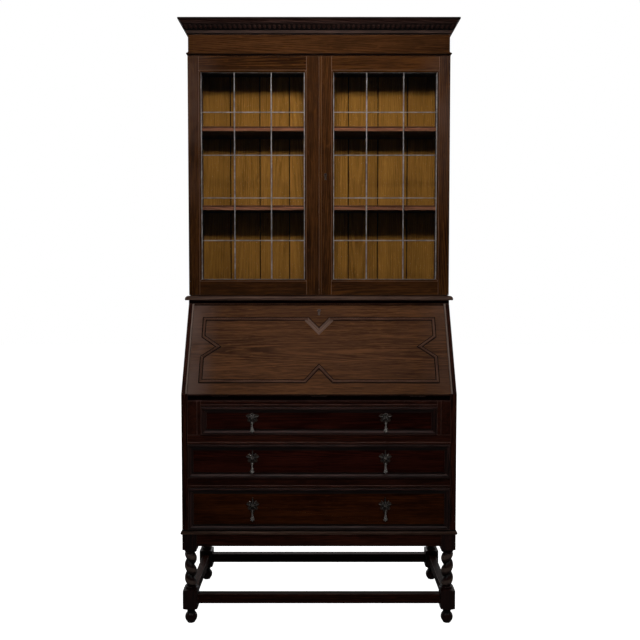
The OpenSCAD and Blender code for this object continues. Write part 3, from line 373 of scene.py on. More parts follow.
def build(name, points, faces, materials, grain=(1, 0, 0), sharp=35, welded=1e-6, grains=None,
          shade_and_tarnish=0.0):
    """A mesh object from points in metres and faces, with its faces turned outwards. It is
    one board along grain, or grains gives grain, pith and board for every point."""
    mesh = bpy.data.meshes.new(name)
    points = np.asarray(points, float).reshape(-1, 3)
    mesh.from_pydata(points.tolist(), [], faces)
    middle = points.mean(0)
    if grains is None:
        mark_wood(mesh, grain, middle + rng.uniform(-0.06, 0.06, 3), rng.random(), shade_and_tarnish)
    else:
        mark_wood(mesh, *grains, shade_and_tarnish)
    work = bmesh.new()
    work.from_mesh(mesh)
    bmesh.ops.remove_doubles(work, verts=work.verts, dist=welded)
    bmesh.ops.recalc_face_normals(work, faces=work.faces)
    work.to_mesh(mesh)
    work.free()
    mesh.shade_smooth()
    mesh.set_sharp_from_angle(angle=radians(sharp))
    for material in materials:
        mesh.materials.append(material)
    made = bpy.data.objects.new(name, mesh)
    bpy.context.collection.objects.link(made)
    return made


def place(made, node, slot, *replaced):
    """The piece rides with its node's body and hides the replaced nodes. slot is not used."""
    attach(made, BODY[node])
    if replaced:
        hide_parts(*replaced)
    return made


print("grids, welding and wood marks are ready")

# %% [markdown]
# ## Oak
#
# Oak is easy to know by four things: growth rings that show as stripes on one face and as
# pointed arches on another, long open pores that hold dirt and stain, pale flecks that cross
# the grain, and slow changes of tone along the board. All of them follow the tree and not
# the piece, so the pattern is worked out in the tree's own directions: along the grain, and
# round the pith. Stretching a noise along the grain makes streaks on the long faces and,
# without more work, dots on the end grain. The picture's oak is stained dark and waxed, so
# its colour is nearly black in the pores and warm brown where the light gets in.


# %% Oak material
TONE = 0.48  # the tone halfway between a finish's two colours
SHEEN_GREY, PALE_TONE = (0.105, 0.066, 0.054), (0.165, 0.115, 0.092)  # painted sheen, a grey reflection; the pale tone of painted highlights


def oak(name, dark, light, rough=0.42, shine=0.35, depth=1.0, worn_and_lit=0.0, painted_sheen=0.0, ring=4.2,
        soft=0.17, above=0.0, one_side=0.0):
    """Stained oak between two colours. The tone is 0.6 streak + 0.28 slow + 0.14 rings +
    0.45 fine + 0.08 board - 0.33, and soft widens the step between the colours, for quiet
    wood. worn_and_lit makes it lighter, partly as wear and partly as painted highlight.
    painted_sheen paints a grey sheen, the reflection of the side lamps, most near the ends and
    over the height above, and one_side takes it off the right end, where the sheen is weaker.
    ring is a year's growth in mm and depth the depth of the pores. The vertices'
    shade_and_tarnish mark comes last: it blackens the wood as painted shade, or below zero
    turns it to PALE_TONE as painted highlight."""
    t = Tree(bpy.data.materials.new(name))
    place_now = t.node("ShaderNodeTexCoord", out="Object")
    grain, pith = t.fact("grain", "Vector"), t.fact("pith", "Vector")
    board, shade_and_tarnish = t.fact("board"), t.fact("shade_and_tarnish")
    away = place_now - pith
    along = t.node("ShaderNodeVectorMath", {"operation": "DOT_PRODUCT"}, {0: away, 1: grain},
                   out="Value")
    run = grain * along
    across = away - run
    shift = t.node("ShaderNodeCombineXYZ", {}, {0: board * 3.1, 1: board * 7.7, 2: board * 5.3})

    def noise(stretch, scale, detail=2.0, rough=0.55):
        """Noise in the tree's directions: the smaller stretch, the longer its streaks."""
        return t.cloud(across + run * stretch + shift, scale, detail, rough)

    bend = noise(0.12, 7, 2)
    lean = across + t.node("ShaderNodeCombineXYZ", {},
                           {0: along * 0.02, 1: along * 0.03, 2: along * 0.02})
    radius = t.node("ShaderNodeVectorMath", {"operation": "LENGTH"}, {0: lean}, out="Value")
    turns = (radius + bend * 0.02) * (2 * pi / (ring * MM))
    rings = t.maths("SINE", turns) * 0.5 + 0.5
    slow, streak, fine = noise(0.1, 9, 2), noise(0.05, 110, 4, 0.65), noise(0.06, 420, 3, 0.6)
    pores = t.ease(noise(0.018, 1000, 1, 0.5), 0.60, 0.72) * (0.45 + 0.55 * rings)
    flecks = t.ease(noise(0.25, 130, 1, 0.5), 0.66, 0.74)
    blotch = t.cloud(place_now + shift, 5.5, 3.0, 0.6)
    tone = streak * 0.6 + slow * 0.28 + rings * 0.14 + fine * 0.45 + board * 0.08 - 0.33
    lit = t.mix(t.ease(tone, TONE - soft, TONE + soft), dark, light)
    lit = t.mix(flecks * 0.22, lit, [c * 1.5 for c in light])
    lit = t.mix(pores * (0.11 / soft), lit, [c * 0.35 for c in dark])
    even = [0.55 * a + 0.45 * b for a, b in zip(dark, light)]
    lit = t.mix(t.ease(blotch, 0.35, 0.7) * 0.35, lit, even)
    if worn_and_lit:
        lit = t.mix(worn_and_lit, lit, [min(1, c * 2.2 + 0.012) for c in light])
    # painted sheen: the grey reflection of the side lamps, painted into the colour near the ends
    # and high up
    if painted_sheen:
        spot = t.part(place_now, "X")
        ends = t.ease(t.maths("ABSOLUTE", spot), 0.33, 0.45)
        ends = ends * t.ease(t.part(place_now, "Z"), above, above + 0.5)
        ends = ends * (1 - t.ease(spot, 0.2, 0.4) * one_side)
        lit = t.mix((ends * 0.94 + 0.06) * t.ease(blotch, 0.2, 0.65) * painted_sheen, lit, SHEEN_GREY)
    # painted shade and highlight from the vertices' mark: above zero it blackens, below zero it
    # turns to PALE_TONE
    lit = t.mix(shade_and_tarnish, lit, [0.0015 + c * 0.04 for c in dark])
    lit = t.mix(shade_and_tarnish * -1, lit, PALE_TONE)
    height = pores * -0.8 + rings * 0.2 + streak * 0.3
    gloss = rough + (blotch - 0.5) * 0.25 + pores * 0.2
    return t.finish(t.node("ShaderNodeBsdfPrincipled", {}, {
        "Base Color": lit, "Roughness": gloss, "Specular IOR Level": shine,
        "Normal": t.bump(0.35 * depth, 0.0006, height)}))


print("oak's middle tone is", TONE)

# %% [markdown]
# A finish is a dark and a light colour, in shares of the light that comes back, with how
# rough and how shiny the wax is. The stand and the drawers are nearly black, partly from a
# darker stain and partly as painted shade, darker towards the floor, and the bottom drawer
# has a lighter copy of the drawer oak as painted light. The doors and the frieze are browner,
# and the fall, which lies towards the light, is palest and carries a painted sheen. Each
# board's edge has a finish of its own, paler partly from wear and partly as a painted
# highlight, and the mouldings' paler finishes are partly painted highlight where they catch
# the light. The back of the bookcase is plain oak that was never stained.

# %% Oak finishes
STAND = oak("oak stand", (0.004, 0.001, 0.0006), (0.043, 0.0118, 0.0066), shine=0.05, soft=0.2)
STAND_EDGE = oak("oak stand rubbed and highlit edge", (0.02, 0.009, 0.007), (0.08, 0.038, 0.03),
                 0.38, 0.2, 0.5, worn_and_lit=0.2)
LEG = oak("oak legs", (0.0045, 0.0014, 0.0011), (0.023, 0.0072, 0.0056), 0.30, 0.3, soft=0.18)
DRAWER = oak("oak drawer front", (0.0055, 0.0008, 0.0006), (0.031, 0.0062, 0.0034), 0.40, 0.03)
# a lighter copy of the drawer oak: painted light on the lowest drawer
LIGHTER_LOW_DRAWER = oak("oak bottom drawer front", (0.0085, 0.0018, 0.0005), (0.054, 0.014, 0.0034),
                 0.40, 0.03)
MOULDING = oak("oak moulding", (0.012, 0.004, 0.003), (0.05, 0.021, 0.017), 0.32, 0.3)
FALL = oak("oak fall", (0.026, 0.0095, 0.0032), (0.112, 0.0435, 0.015), 0.40, 0.06, painted_sheen=0.9,
           soft=0.15, one_side=0.75)
REED = oak("oak fall moulding", (0.05, 0.022, 0.013), (0.15, 0.076, 0.048), 0.40, 0.06)
SHEEN_BEAD = oak("oak slope bead with painted sheen", (0.04, 0.024, 0.019), (0.1, 0.066, 0.055), 0.34, 0.2)
WAIST = oak("oak waist moulding", (0.02, 0.009, 0.006), (0.09, 0.051, 0.036), 0.36, 0.15)
DOOR = oak("oak doors", (0.008, 0.0024, 0.0004), (0.066, 0.023, 0.0052), shine=0.035, painted_sheen=0.3,
           soft=0.19, above=1.3)
BROWN = oak("oak frieze", (0.012, 0.0042, 0.001), (0.07, 0.0254, 0.0076), shine=0.04, soft=0.22)
BROWN_EDGE = oak("oak door rubbed and highlit edge", (0.03, 0.012, 0.006), (0.11, 0.055, 0.032),
                 0.40, 0.15, 0.5, worn_and_lit=0.2)
CORNICE = oak("oak cornice", (0.0065, 0.0024, 0.0018), (0.033, 0.016, 0.0125), 0.40, 0.10)
# nearly black: painted shadow, for faces that lie in deep shade
PAINTED_SHADOW = oak("oak painted as deep shadow", (0.001, 0.0003, 0.0002), (0.0025, 0.0007, 0.0006), 0.5, 0.02)
INSIDE = oak("oak inside", (0.014, 0.005, 0.0022), (0.055, 0.022, 0.009), 0.5, 0.06)
# paler edge finish: a painted highlight on inside edges and on the shelves' lips
INSIDE_EDGE = oak("oak inside edge", (0.095, 0.034, 0.018), (0.27, 0.105, 0.06), 0.5, 0.08, 0.5)
SHELF = oak("oak shelf", (0.013, 0.004, 0.002), (0.05, 0.018, 0.01), 0.5, 0.05)
BACK = oak("matched back boards", (0.1, 0.038, 0.0055), (0.345, 0.155, 0.03), 0.55, 0.05, ring=5.5,
           soft=0.4)
BACK_EDGE = oak("back board bead", (0.008, 0.003, 0.001), (0.02, 0.008, 0.002), 0.55, 0.05, 0.5)
print("oak in", len([m for m in bpy.data.materials if m.name.startswith("oak")]), "finishes")

# %% [markdown]
# ## Boards with soft edges
#
# No real board has a knife edge: it is planed, handled and waxed until it shows as a thin
# pale line. The CAD boards are right in size, so each is copied, its loose
# triangles are welded and joined to flat faces, and a Bevel modifier rounds the edges by
# less than a millimetre. The modifier gives the narrow new faces the second material, the
# edge finish, paler partly from wear and partly as a painted highlight. A third finish can go
# on what looks forward, as on the writing board, whose front is painted nearly black as the
# shade under the fall. To give each board its own grain, the boards of a node
# are told apart by letting vertex numbers flow along the edges until every board carries
# its lowest number.


# %% Boards told apart
def boards_of(points, edges):
    """The number of the board that each vertex belongs to. Every vertex takes the lowest
    label that an edge brings it, until nothing changes."""
    label = np.arange(len(points))
    while True:
        low = label.copy()
        np.minimum.at(low, edges[:, 0], label[edges[:, 1]])
        np.minimum.at(low, edges[:, 1], label[edges[:, 0]])
        low = low[low]
        if (low == label).all():
            return np.unique(label, return_inverse=True)[1]
        label = low


loose = np.array([(0, 1), (2, 3)])
print("two loose edges are", boards_of(np.zeros((4, 3)), loose).max() + 1, "boards")

# %% A copy with soft edges
FORWARD = -0.9  # a face looks forward if its normal's y is less


def softened(node, slot, face, edge, bevel=0.8, keep=None, front=None):
    """A copy of a CAD node with welded faces, rounded edges and a grain for every board.
    keep takes a board's lowest and highest corner in mm and tells if it stays. front is a
    third finish, for the faces that look forward."""
    mesh = NODES[node].data.copy()
    mesh.name = node + "_wood"
    mesh.materials.clear()
    work = bmesh.new()
    work.from_mesh(mesh)
    bmesh.ops.remove_doubles(work, verts=work.verts, dist=1e-6)
    bmesh.ops.dissolve_limit(work, angle_limit=radians(0.6), verts=work.verts, edges=work.edges)
    work.to_mesh(mesh)
    work.free()
    co, ends = places(mesh), np.zeros(len(mesh.edges) * 2, int)
    mesh.edges.foreach_get("vertices", ends)
    label = boards_of(co, ends.reshape(-1, 2))
    count = label.max() + 1
    low, high = np.full((count, 3), 1e9), np.full((count, 3), -1e9)
    np.minimum.at(low, label, co)
    np.maximum.at(high, label, co)
    grain = np.eye(3)[(high - low).argmax(1)]
    pith = (low + high) / 2 + rng.choice([-1, 1], (count, 3)) * rng.uniform(0.02, 0.09, (count, 3))
    mark_wood(mesh, grain[label], pith[label], rng.random(count)[label])
    if keep:
        gone = np.array([not keep(a / MM, b / MM) for a, b in zip(low, high)])[label]
        work = bmesh.new()
        work.from_mesh(mesh)
        work.verts.ensure_lookup_table()
        bmesh.ops.delete(work, geom=[work.verts[i] for i in np.flatnonzero(gone)], context="VERTS")
        work.to_mesh(mesh)
        work.free()
    mesh.shade_flat()
    for material in (face, edge, front or face):
        mesh.materials.append(material)
    normals = np.empty(3 * len(mesh.polygons), np.float32)
    mesh.polygons.foreach_get("normal", normals)
    which = np.where(normals[1::3] < FORWARD, 2, 0)
    mesh.polygons.foreach_set("material_index", which.astype(np.int32))
    made = bpy.data.objects.new(node + "_wood", mesh)
    bpy.context.collection.objects.link(made)
    # the bevel faces take the paler edge finish: partly wear, partly painted highlight
    soft = made.modifiers.new("rubbed and highlit edges", "BEVEL")
    soft.width, soft.segments, soft.material = bevel * MM, 2, 1
    soft.limit_method, soft.angle_limit, soft.use_clamp_overlap = "ANGLE", radians(40), False
    return place(made, node, slot, node)


print("soft edges are", softened.__defaults__[0], "mm wide")

# %% Board copies
GROUPS = {
    (STAND, STAND_EDGE, "dark_oak"): [
        "stretchers", "stand_rails", "writing_board", "lower_left_side", "lower_right_side",
        "drawer_rails", "loper_partitions", "left_loper", "right_loper"],
    # the bureau top's front is painted as the shadow under the waist moulding
    (PAINTED_SHADOW, STAND, "dark_oak"): ["bureau_top"],
    (FALL, BROWN_EDGE, "dark_oak"): ["fall_panel"],
    (DRAWER, STAND_EDGE, "dark_oak"): ["top_drawer_front", "middle_drawer_front"],
    (LIGHTER_LOW_DRAWER, STAND_EDGE, "dark_oak"): ["bottom_drawer_front"],
    (DOOR, BROWN_EDGE, "dark_oak"): [
        "upper_left_side", "upper_right_side", "left_door_frame", "right_door_frame"],
    (INSIDE, INSIDE_EDGE, "oak_inside"): [
        "pigeonholes", "upper_end_boards", "lower_back_panel", "drawer_runners",
        "top_drawer_box", "middle_drawer_box", "bottom_drawer_box"],
}
for (face, edge, slot), names in GROUPS.items():
    for node in names:
        # the writing board's front is painted nearly black as the shade under the fall
        softened(node, slot, face, edge, front=PAINTED_SHADOW if node == "writing_board" else None)
softened("upper_back_boards", "back_boards", BACK, BACK_EDGE, bevel=1.8)
softened("shelves", "oak_inside", SHELF, INSIDE_EDGE, bevel=1.2)
# New mouldings take the place of the rest of the next two: the frieze keeps its board, and
# the base its dust panel and its back.
softened("frieze", "dark_oak", BROWN, BROWN_EDGE, keep=lambda low, high: high[2] - low[2] > 40)
softened("base_moulding", "dark_oak", STAND, STAND_EDGE,
         keep=lambda low, high: high[2] - low[2] < 8 or low[1] > 100)
print("boards copied:", sum(len(v) for v in GROUPS.values()) + 4)

# %% [markdown]
# ## Mouldings
#
# A moulding is one section carried along a line. Where it turns a corner, both lengths are
# cut to the line that halves the angle, the mitre, and the section is stretched there by
# exactly the cut's slant. So a mitred frame needs only its corners and its section. Each
# length keeps its own grain and a hair of space at the mitre, as a glued joint shows. A
# third number gives a point of the section its painted shade, or below zero its painted
# highlight, and `marks` paints one length alone.


# %% Mitred lengths
def mitred(name, corners, section, up, materials, closed=False, gap=0.08, sharp=30, marks=()):
    """Lengths of a moulding between corners in metres, mitred where they meet.
    point = corner + out (a + b) / (1 + a.b) + height up, where a and b are the outward
    sides of the two lengths, and section lists (out, height) in mm, with a mark of painted
    shade or highlight if there is any. marks gives a length its own mark inside a distance:
    {length: (distance in mm, mark)}."""
    corners, up = np.asarray(corners, float), unit(up)
    start = corners if closed else corners[:-1]
    end = np.roll(corners, -1, 0) if closed else corners[1:]
    along = unit(end - start)
    side = np.cross(along, up)
    before = np.roll(side, 1, 0) if closed else np.vstack([side[:1], side[:-1]])
    after = np.roll(side, -1, 0) if closed else np.vstack([side[1:], side[-1:]])
    section = np.array([(*p, 0)[:3] for p in section], float)
    out, high = section.T[:2] * MM

    def cut(corner, a, b, pull):
        """The section at each corner, on the line that halves the angle of a and b."""
        way = (a + b) / (1 + (a * b).sum(-1, keepdims=True))
        return (corner[:, None] + way[:, None] * out[None, :, None] + up * high[None, :, None]
                + along[:, None] * pull)

    points = np.stack([cut(start, before, side, gap * MM), cut(end, side, after, -gap * MM)], 1)
    lengths, m = len(start), len(section)
    faces = sum((tube(2, m, k * 2 * m) for k in range(lengths)), [])
    owner = np.repeat(np.arange(lengths), 2 * m)
    pith = (start + end)[owner] / 2 + rng.uniform(-0.05, 0.05, (lengths, 3))[owner]
    shade_and_tarnish = np.tile(section[:, 2], (lengths, 2, 1))
    for k, (inside, shade_level) in dict(marks).items():
        shade_and_tarnish[k] = np.where(out > -inside * MM, shade_and_tarnish[k], shade_level)
    return build(name, points, faces, materials, sharp=sharp, shade_and_tarnish=shade_and_tarnish.ravel(),
                 grains=(along[owner], pith, rng.random(lengths)[owner]))


def arc(cx, cy, r, a0, a1, n=7):
    """Points of a circle's arc from angle a0 to a1, in degrees."""
    a = np.radians(np.linspace(a0, a1, n))
    return [(cx + r * np.cos(t), cy + r * np.sin(t)) for t in a]


def round_three(depth, z):
    """The line of a moulding that runs round the left side, the front and the right side."""
    return at(np.array([-HALF_W, -HALF_W, HALF_W, HALF_W]),
              np.array([CASE_D, depth, depth, CASE_D]), z)


print("mitres are ready")

# %% [markdown]
# The base, the waist and the little bead under the frieze each run round three
# sides. Their sections are drawn as a turner or plane maker would name them: an
# ovolo is a quarter round, a bead a half round, a fillet a small flat. Painted shade lies in
# their creases and under the bead. A plain strip lies on the waist under the doors, and each
# shelf has a thin lip along its front, painted pale as a highlight, with a darker band along
# its top.

# %% Base, waist and bead mouldings
# the last marks paint shade into the crease against the case
base = [(-55, 0), (3.6, 0), (5, 1.2), (5, 3.2)] + arc(0.4, 5.4, 4.6, -10, 84, 8) + [
    (0.3, 11, 1), (0, 14, 1), (-55, 14)]
place(mitred("base_ovolo", round_three(0, STAND_H), base, (0, 0, 1), [WAIST]),
      "base_moulding", "dark_oak")
# the last marks paint shade into the crease under the bookcase
waist = [(0, 0), (11.6, 0), (13, 1.2), (13, 3.6)] + arc(2.2, 4.6, 10.8, 0, 82, 9) + [
    (2, 15.4, 1), (0, 16, 1)]
place(mitred("waist_ovolo", round_three(DOOR_D, WAIST_Z), waist, (0, 0, 1), [WAIST]),
      "waist_moulding", "dark_oak")
HAIR, LIFT = 0.1, 0.02  # mm between the strip and what lies beside it and below
strip = [(-20.2, 0), (-HAIR, 0), (-HAIR, 15.9), (-20.2, 15.9)]
strip_ends = at(np.array([-HALF_W + HAIR, HALF_W - HAIR]), DOOR_D, WAIST_Z + LIFT)
place(mitred("waist_strip", strip_ends, strip, (0, 0, 1), [BROWN], gap=0),
      "waist_moulding", "dark_oak", "waist_moulding")
# painted shade under the bead, fading up its round
bead = [(0.05, 0, 1), (2.4, 0, 1), (2.4, 1, 1)]
bead += [(*q, 1 - k / 8) for k, q in enumerate(arc(2.6, 4.6, 3.4, -85, 85, 9))]
bead += [(1.6, 8.2), (1.4, 8.8), (1.2, 11), (0.05, 11)]
place(mitred("frieze_bead", round_three(FRIEZE_D, BEAD_Z), bead, (0, 0, 1), [BROWN]),
      "frieze", "dark_oak")
print("three mouldings run round the case")

# %% Shelf lips
(x0, y0, _), (x1, _, _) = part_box("shelves")
tops = np.unique(np.round(places(NODES["shelves"].data)[:, 2], 4))[1::2]
# a pale lip: a painted highlight along the shelf's front, darker along its top
lip = [(0, 0, 0.9), (0, 0.25, 0.9), (3.5, 0.25, 0.7), (5.5, 0.25), (15.6, 0.25), (15.6, 0)]
for k, top in enumerate(tops):
    line = [(x, y0, top - 0.0012) for x in (x0 + 0.001, x1 - 0.001)]
    place(mitred(f"shelf_{k + 1}_lip", line, lip, (0, -1, 0), [INSIDE_EDGE], gap=0),
          "shelves", "oak_inside")
print("shelf tops at", tops)

# %% [markdown]
# ## The cornice
#
# The cornice leans out over the frieze in steps. Its top is plain moulding, and under
# that runs a carved band of round-nosed leaves over a plain fillet. The
# plain part is a mitred section. The carving is a grid along the three sides, pushed out by a
# formula that repeats: in every leaf the height is the root of what is left of an
# ellipse, and a groove runs round it.

# %% Cornice moulding
# section marks: painted shade in the bottom fillet and below and above the carved band, a faint
# painted highlight on the moulding above the bottom fillet, and darker marks on the top
crown = [(0, 0, 1), (2.2, 0, 1), (3.4, 2.6, 1), (3.4, 4.4, 0.3), (4.6, 4.6, -0.12),
         (6, 8.4, -0.12), (6.6, 13.2, -0.08), (8.6, 13.6, 1), (9.2, 15.4, 1), (10.6, 18.4, 1),
         (17.4, 32.4, 0.6), (19.6, 33, 0.3), (19.6, 36.2), (21.6, 36.6, 0.5)]
crown += [(21.6 + 6 * (1 - np.cos(a)), 36.6 + 7.4 * np.sin(a))
          for a in np.linspace(0.2, pi / 2, 6)]
crown += [(28.4, 44.6), (29.8, 45, 0.5), (31, 46, 0.6), (31, 51, 0.6), (-8, 51, 0.6), (-8, 0)]
crowned = mitred("cornice_crown", round_three(FRIEZE_D, CORNICE_Z), crown, (0, 0, 1), [CORNICE],
                 sharp=28)
place(crowned, "cornice", "dark_oak", "cornice")
print("a cornice of", len(crown), "section points")


# %% Cornice carving
def carved(name, low, high, pitch, lift, form, rows, steps=12):
    """A carved band round three sides, between two points (out, height) of the section.
    Each point is moved out of the band by lift * form(u, v): u is the place in the
    pattern from -1 to 1 and v the place across the band from 0 to 1. Each leaf has steps
    points along the band."""
    out = np.linspace(low[0], high[0], rows)
    rise = np.linspace(low[1], high[1], rows)
    v = np.linspace(0, 1, rows)
    lean = unit(np.array([high[1] - low[1], low[0] - high[0]]))
    parts, faces, total, dark_in_hollows = [], [], 0, []
    turns = np.array([(-HALF_W, CASE_D), (-HALF_W, FRIEZE_D),
                      (HALF_W, FRIEZE_D), (HALF_W, CASE_D)])
    for k, side in enumerate(np.array([(-1, 0), (0, -1), (1, 0)])):
        a, b = turns[k], turns[k + 1]
        length = np.linalg.norm(b - a)
        count = max(2, round(length / pitch))
        n = count * steps + 1
        s = np.linspace(0, 1, n)
        u = 2 * ((s * count) % 1) - 1
        u[-1] = 1
        push = lift * form(u[:, None], v[None])
        # painted shade: darker where the carving sinks, in the grooves between the leaves
        dark_in_hollows.append(np.clip(1 - push / lift / 0.5, 0, 1).ravel())
        o = out[None] + push * lean[0]
        h = rise[None] + push * lean[1]
        slide = s[:, None] * o * (k < 2) - (1 - s)[:, None] * o * (k > 0)
        flat = (a + (b - a) * s[:, None])[:, None] + (b - a) / length * slide[..., None]
        flat = flat + side * o[..., None]
        parts.append(at(flat[..., 0], flat[..., 1], CORNICE_Z + h).reshape(-1, 3))
        faces += patch(n, rows, first=total)
        total += n * rows
    return build(name, np.vstack(parts), faces, [CORNICE], sharp=60, welded=1e-7,
                 shade_and_tarnish=np.concatenate(dark_in_hollows))


def leaf(u, v):
    """A round-nosed leaf in the middle and a dart at each edge. The leaf's height is the root
    of egg = 1 - (u / 0.68)^2 - ((v - 0.5) / 0.44)^2, the dart is a narrow ridge at u = 1 that
    rises with v, and a groove, exp(-(egg / 0.22)^2), runs between them."""
    egg = 1 - (u / 0.68) ** 2 - ((v - 0.50) / 0.44) ** 2
    dart = np.exp(-((1 - abs(u)) / 0.10) ** 2) * np.clip(v * 1.4 - 0.1, 0, 1) * (v < 0.93)
    groove = np.exp(-(egg / 0.22) ** 2) * (egg < 0.3)
    return np.sqrt(np.clip(egg, 0, 1)) + 0.35 * dart - 0.28 * groove


LEAF_W, LEAF_OUT = 16.7, 3.4  # mm from leaf to leaf, and how far one swells
leaves = carved("cornice_leaves", (9.3, 15.6), (17.3, 32.2), LEAF_W, LEAF_OUT, leaf, 17)
place(leaves, "cornice", "dark_oak")
print("a carved band of", len(leaves.data.polygons), "faces")

# %% [markdown]
# ## The twist legs
#
# A turner makes a leg in one piece: ball foot, square block, twist, square block. The
# whole leg is one surface, a radius for every turn and height. In a block the
# radius is the square's own, side / max(|cos|, |sin|), cut back at both ends by the cone
# that the turning leaves. In the twist it swells and shrinks once round the leg, and the
# swelling climbs with the height, so it winds like a rope. Left legs wind the other way.

# %% A leg's surface
PITCH, BULGE_Z = 43.2, 153.9  # one turn of the twist, and where it swells outwards
TWIST_LOW, TWIST_HIGH = 126.0, 242.0
FOOT_R, FOOT_Z = 20.5, 17.9  # the ball foot
NECK, RING_R, RING_T = 15.0, 5.0, 3.3  # the thin places, and the rings beside the twist


def leg_grid(around=72):
    """Turn, height and radius in mm for every point of a leg. The foot is a ball,
    sqrt(FOOT_R^2 - (h - FOOT_Z)^2). The twist is 11.2 + 9.3 |cos((t - wind) / 2)|^0.75, where
    wind goes once round in each PITCH, and it fades to the neck at its ends."""
    z = np.unique(np.round(np.concatenate([
        np.linspace(0, 3, 4), np.linspace(3, 40, 26), np.linspace(40, 54, 15),
        np.linspace(54, 112, 6), np.linspace(112, 127, 19), np.linspace(127, 241, 96),
        np.linspace(241, 256, 19), np.linspace(256, STAND_H, 6)]), 3))
    turn = np.arange(around) * 2 * pi / around
    t, h = np.meshgrid(turn, z)
    square = LEG_SQ / 2 / np.maximum(abs(np.cos(t)), abs(np.sin(t)))
    ball = np.sqrt(np.clip(FOOT_R**2 - (h - FOOT_Z) ** 2, 0, None))

    def cup(start, way):
        """The turned end of a block: an S from the neck out to the square's corners."""
        s = np.clip((h - start) * way / 7.5, 0, 1)
        return NECK + 20.0 * (0.35 * s + 0.65 * s**2.2)

    def ring(middle):
        """A ring's round edge: sqrt(1 - d^2), where d is the distance from its middle."""
        return NECK + 0.5 + RING_R * np.sqrt(np.clip(1 - ((h - middle) / RING_T) ** 2, 0, 1))

    foot = np.maximum(ball, 13.2 + 1.8 * np.exp(-((h - 42.5) / 1.6) ** 2))
    lathe = np.where(h < 45, foot, np.minimum(cup(45, 1), cup(121, -1)))
    lathe = np.where(h > 120, ring(123.3), lathe)
    wind = (h - BULGE_Z) * 2 * pi / PITCH
    rope = 11.2 + 9.3 * abs(np.cos((t - wind) / 2)) ** 0.75
    ends = np.clip((h - TWIST_LOW) / 7, 0, 1) * np.clip((TWIST_HIGH - h) / 7, 0, 1)
    ends = ends * ends * (3 - 2 * ends)
    lathe = np.where((h > 125.5) & (h < 242.5), NECK + (rope - NECK) * ends, lathe)
    lathe = np.where(h >= 241.5, ring(244.7), lathe)
    lathe = np.where(h > 247.5, cup(247, 1), lathe)
    blocks = ((h > 45) & (h < 121)) | (h > 247.5)
    return t, h, np.where(blocks, np.minimum(square, lathe), lathe)


print("a leg of", leg_grid()[1].size, "points")


# %% Legs
def leg(node, side, depth):
    """A leg round its own axis: x = side (LEG_X + r cos t), depth + r sin t. Painted shade
    darkens it where r is under 17.5, and a painted highlight lightens the twist's crest where
    it is over 19.1."""
    t, h, r = leg_grid()
    points = at(side * (LEG_X + r * np.cos(t)), depth + r * np.sin(t), h)
    twist = (h > TWIST_LOW) & (h < TWIST_HIGH)
    shade_and_tarnish = np.clip((17.5 - r) / 4, 0, 0.95) - 0.4 * twist * np.clip((r - 19.1) / 1.1, 0, 1)
    made = build(node + "_turned", points, tube(*h.shape), [LEG], (0, 0, 1), 42, shade_and_tarnish=shade_and_tarnish.ravel())
    return place(made, node, "dark_oak", node)


for side, hand in ((-1, "left"), (1, "right")):
    leg(f"front_{hand}_leg", side, LEG_SQ / 2)
    leg(f"rear_{hand}_leg", side, REAR_LEG_D)
print("four legs, the left pair a mirror image of the right")

# %% [markdown]
# ## Drawer mouldings
#
# A mitred moulding is planted on every drawer front, flat on top and falling in
# a small hollow to the field. Its corners are at the drawer front's edge, so the section is
# laid inwards from there. Painted shade darkens its outer edge and the bottom of its hollow,
# and its sides and top are painted darker than the lower length, which would catch the
# light.

# %% Drawer mouldings
# painted shade: the marks darken the outer edges and the bottom of the hollow
planted = [(-1, 0, 1), (-1, 4.2, 1), (-2, 5.4, 0.3), (-3.4, 6), (-5.2, 6), (-5.6, 5.6, 0.8),
           (-6.3, 4.9, 1), (-7.1, 4.9, 1), (-7.7, 5.6, 0.3), (-9, 5.8), (-10.4, 4.9), (-12.6, 2.8),
           (-14.4, 1.7, 0.3), (-16, 1.5, 0.9), (-19.4, 1.4, 0.9), (-20, 1.3, 1), (-20, 0, 1)]
SHADED_LENGTHS = {1: (11.5, 0.6), 2: (9.0, 0.8), 3: (11.5, 0.6)}  # painted shade on the right, upper and left lengths
for name in ("top", "middle", "bottom"):
    low, high = (np.array(c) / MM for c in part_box(name + "_drawer_front"))
    half, z = high[0], np.array([low[2], low[2], high[2], high[2]])
    corners = at(np.array([-half, half, half, -half]), 0.0, z)
    made = mitred(name + "_drawer_mitred", corners, planted, (0, -1, 0), [MOULDING], closed=True,
                  marks=SHADED_LENGTHS)
    place(made, name + "_drawer_moulding", "dark_oak", name + "_drawer_moulding")
print("drawer mouldings mitred")

# %% [markdown]
# ## The reeded moulding on the fall
#
# Two thin reeds run round the fall as a long frame, and each side dips to a point
# in the middle. It is the same mitred moulding, with sixteen corners instead of four, laid on
# the slope, with painted shade along its outer edge and in the grooves between the reeds.
# Under the upper point the wood is painted paler in a broad V, and a dark strip is painted as
# the shadow where the fall's top edge meets the strip that it rests on.

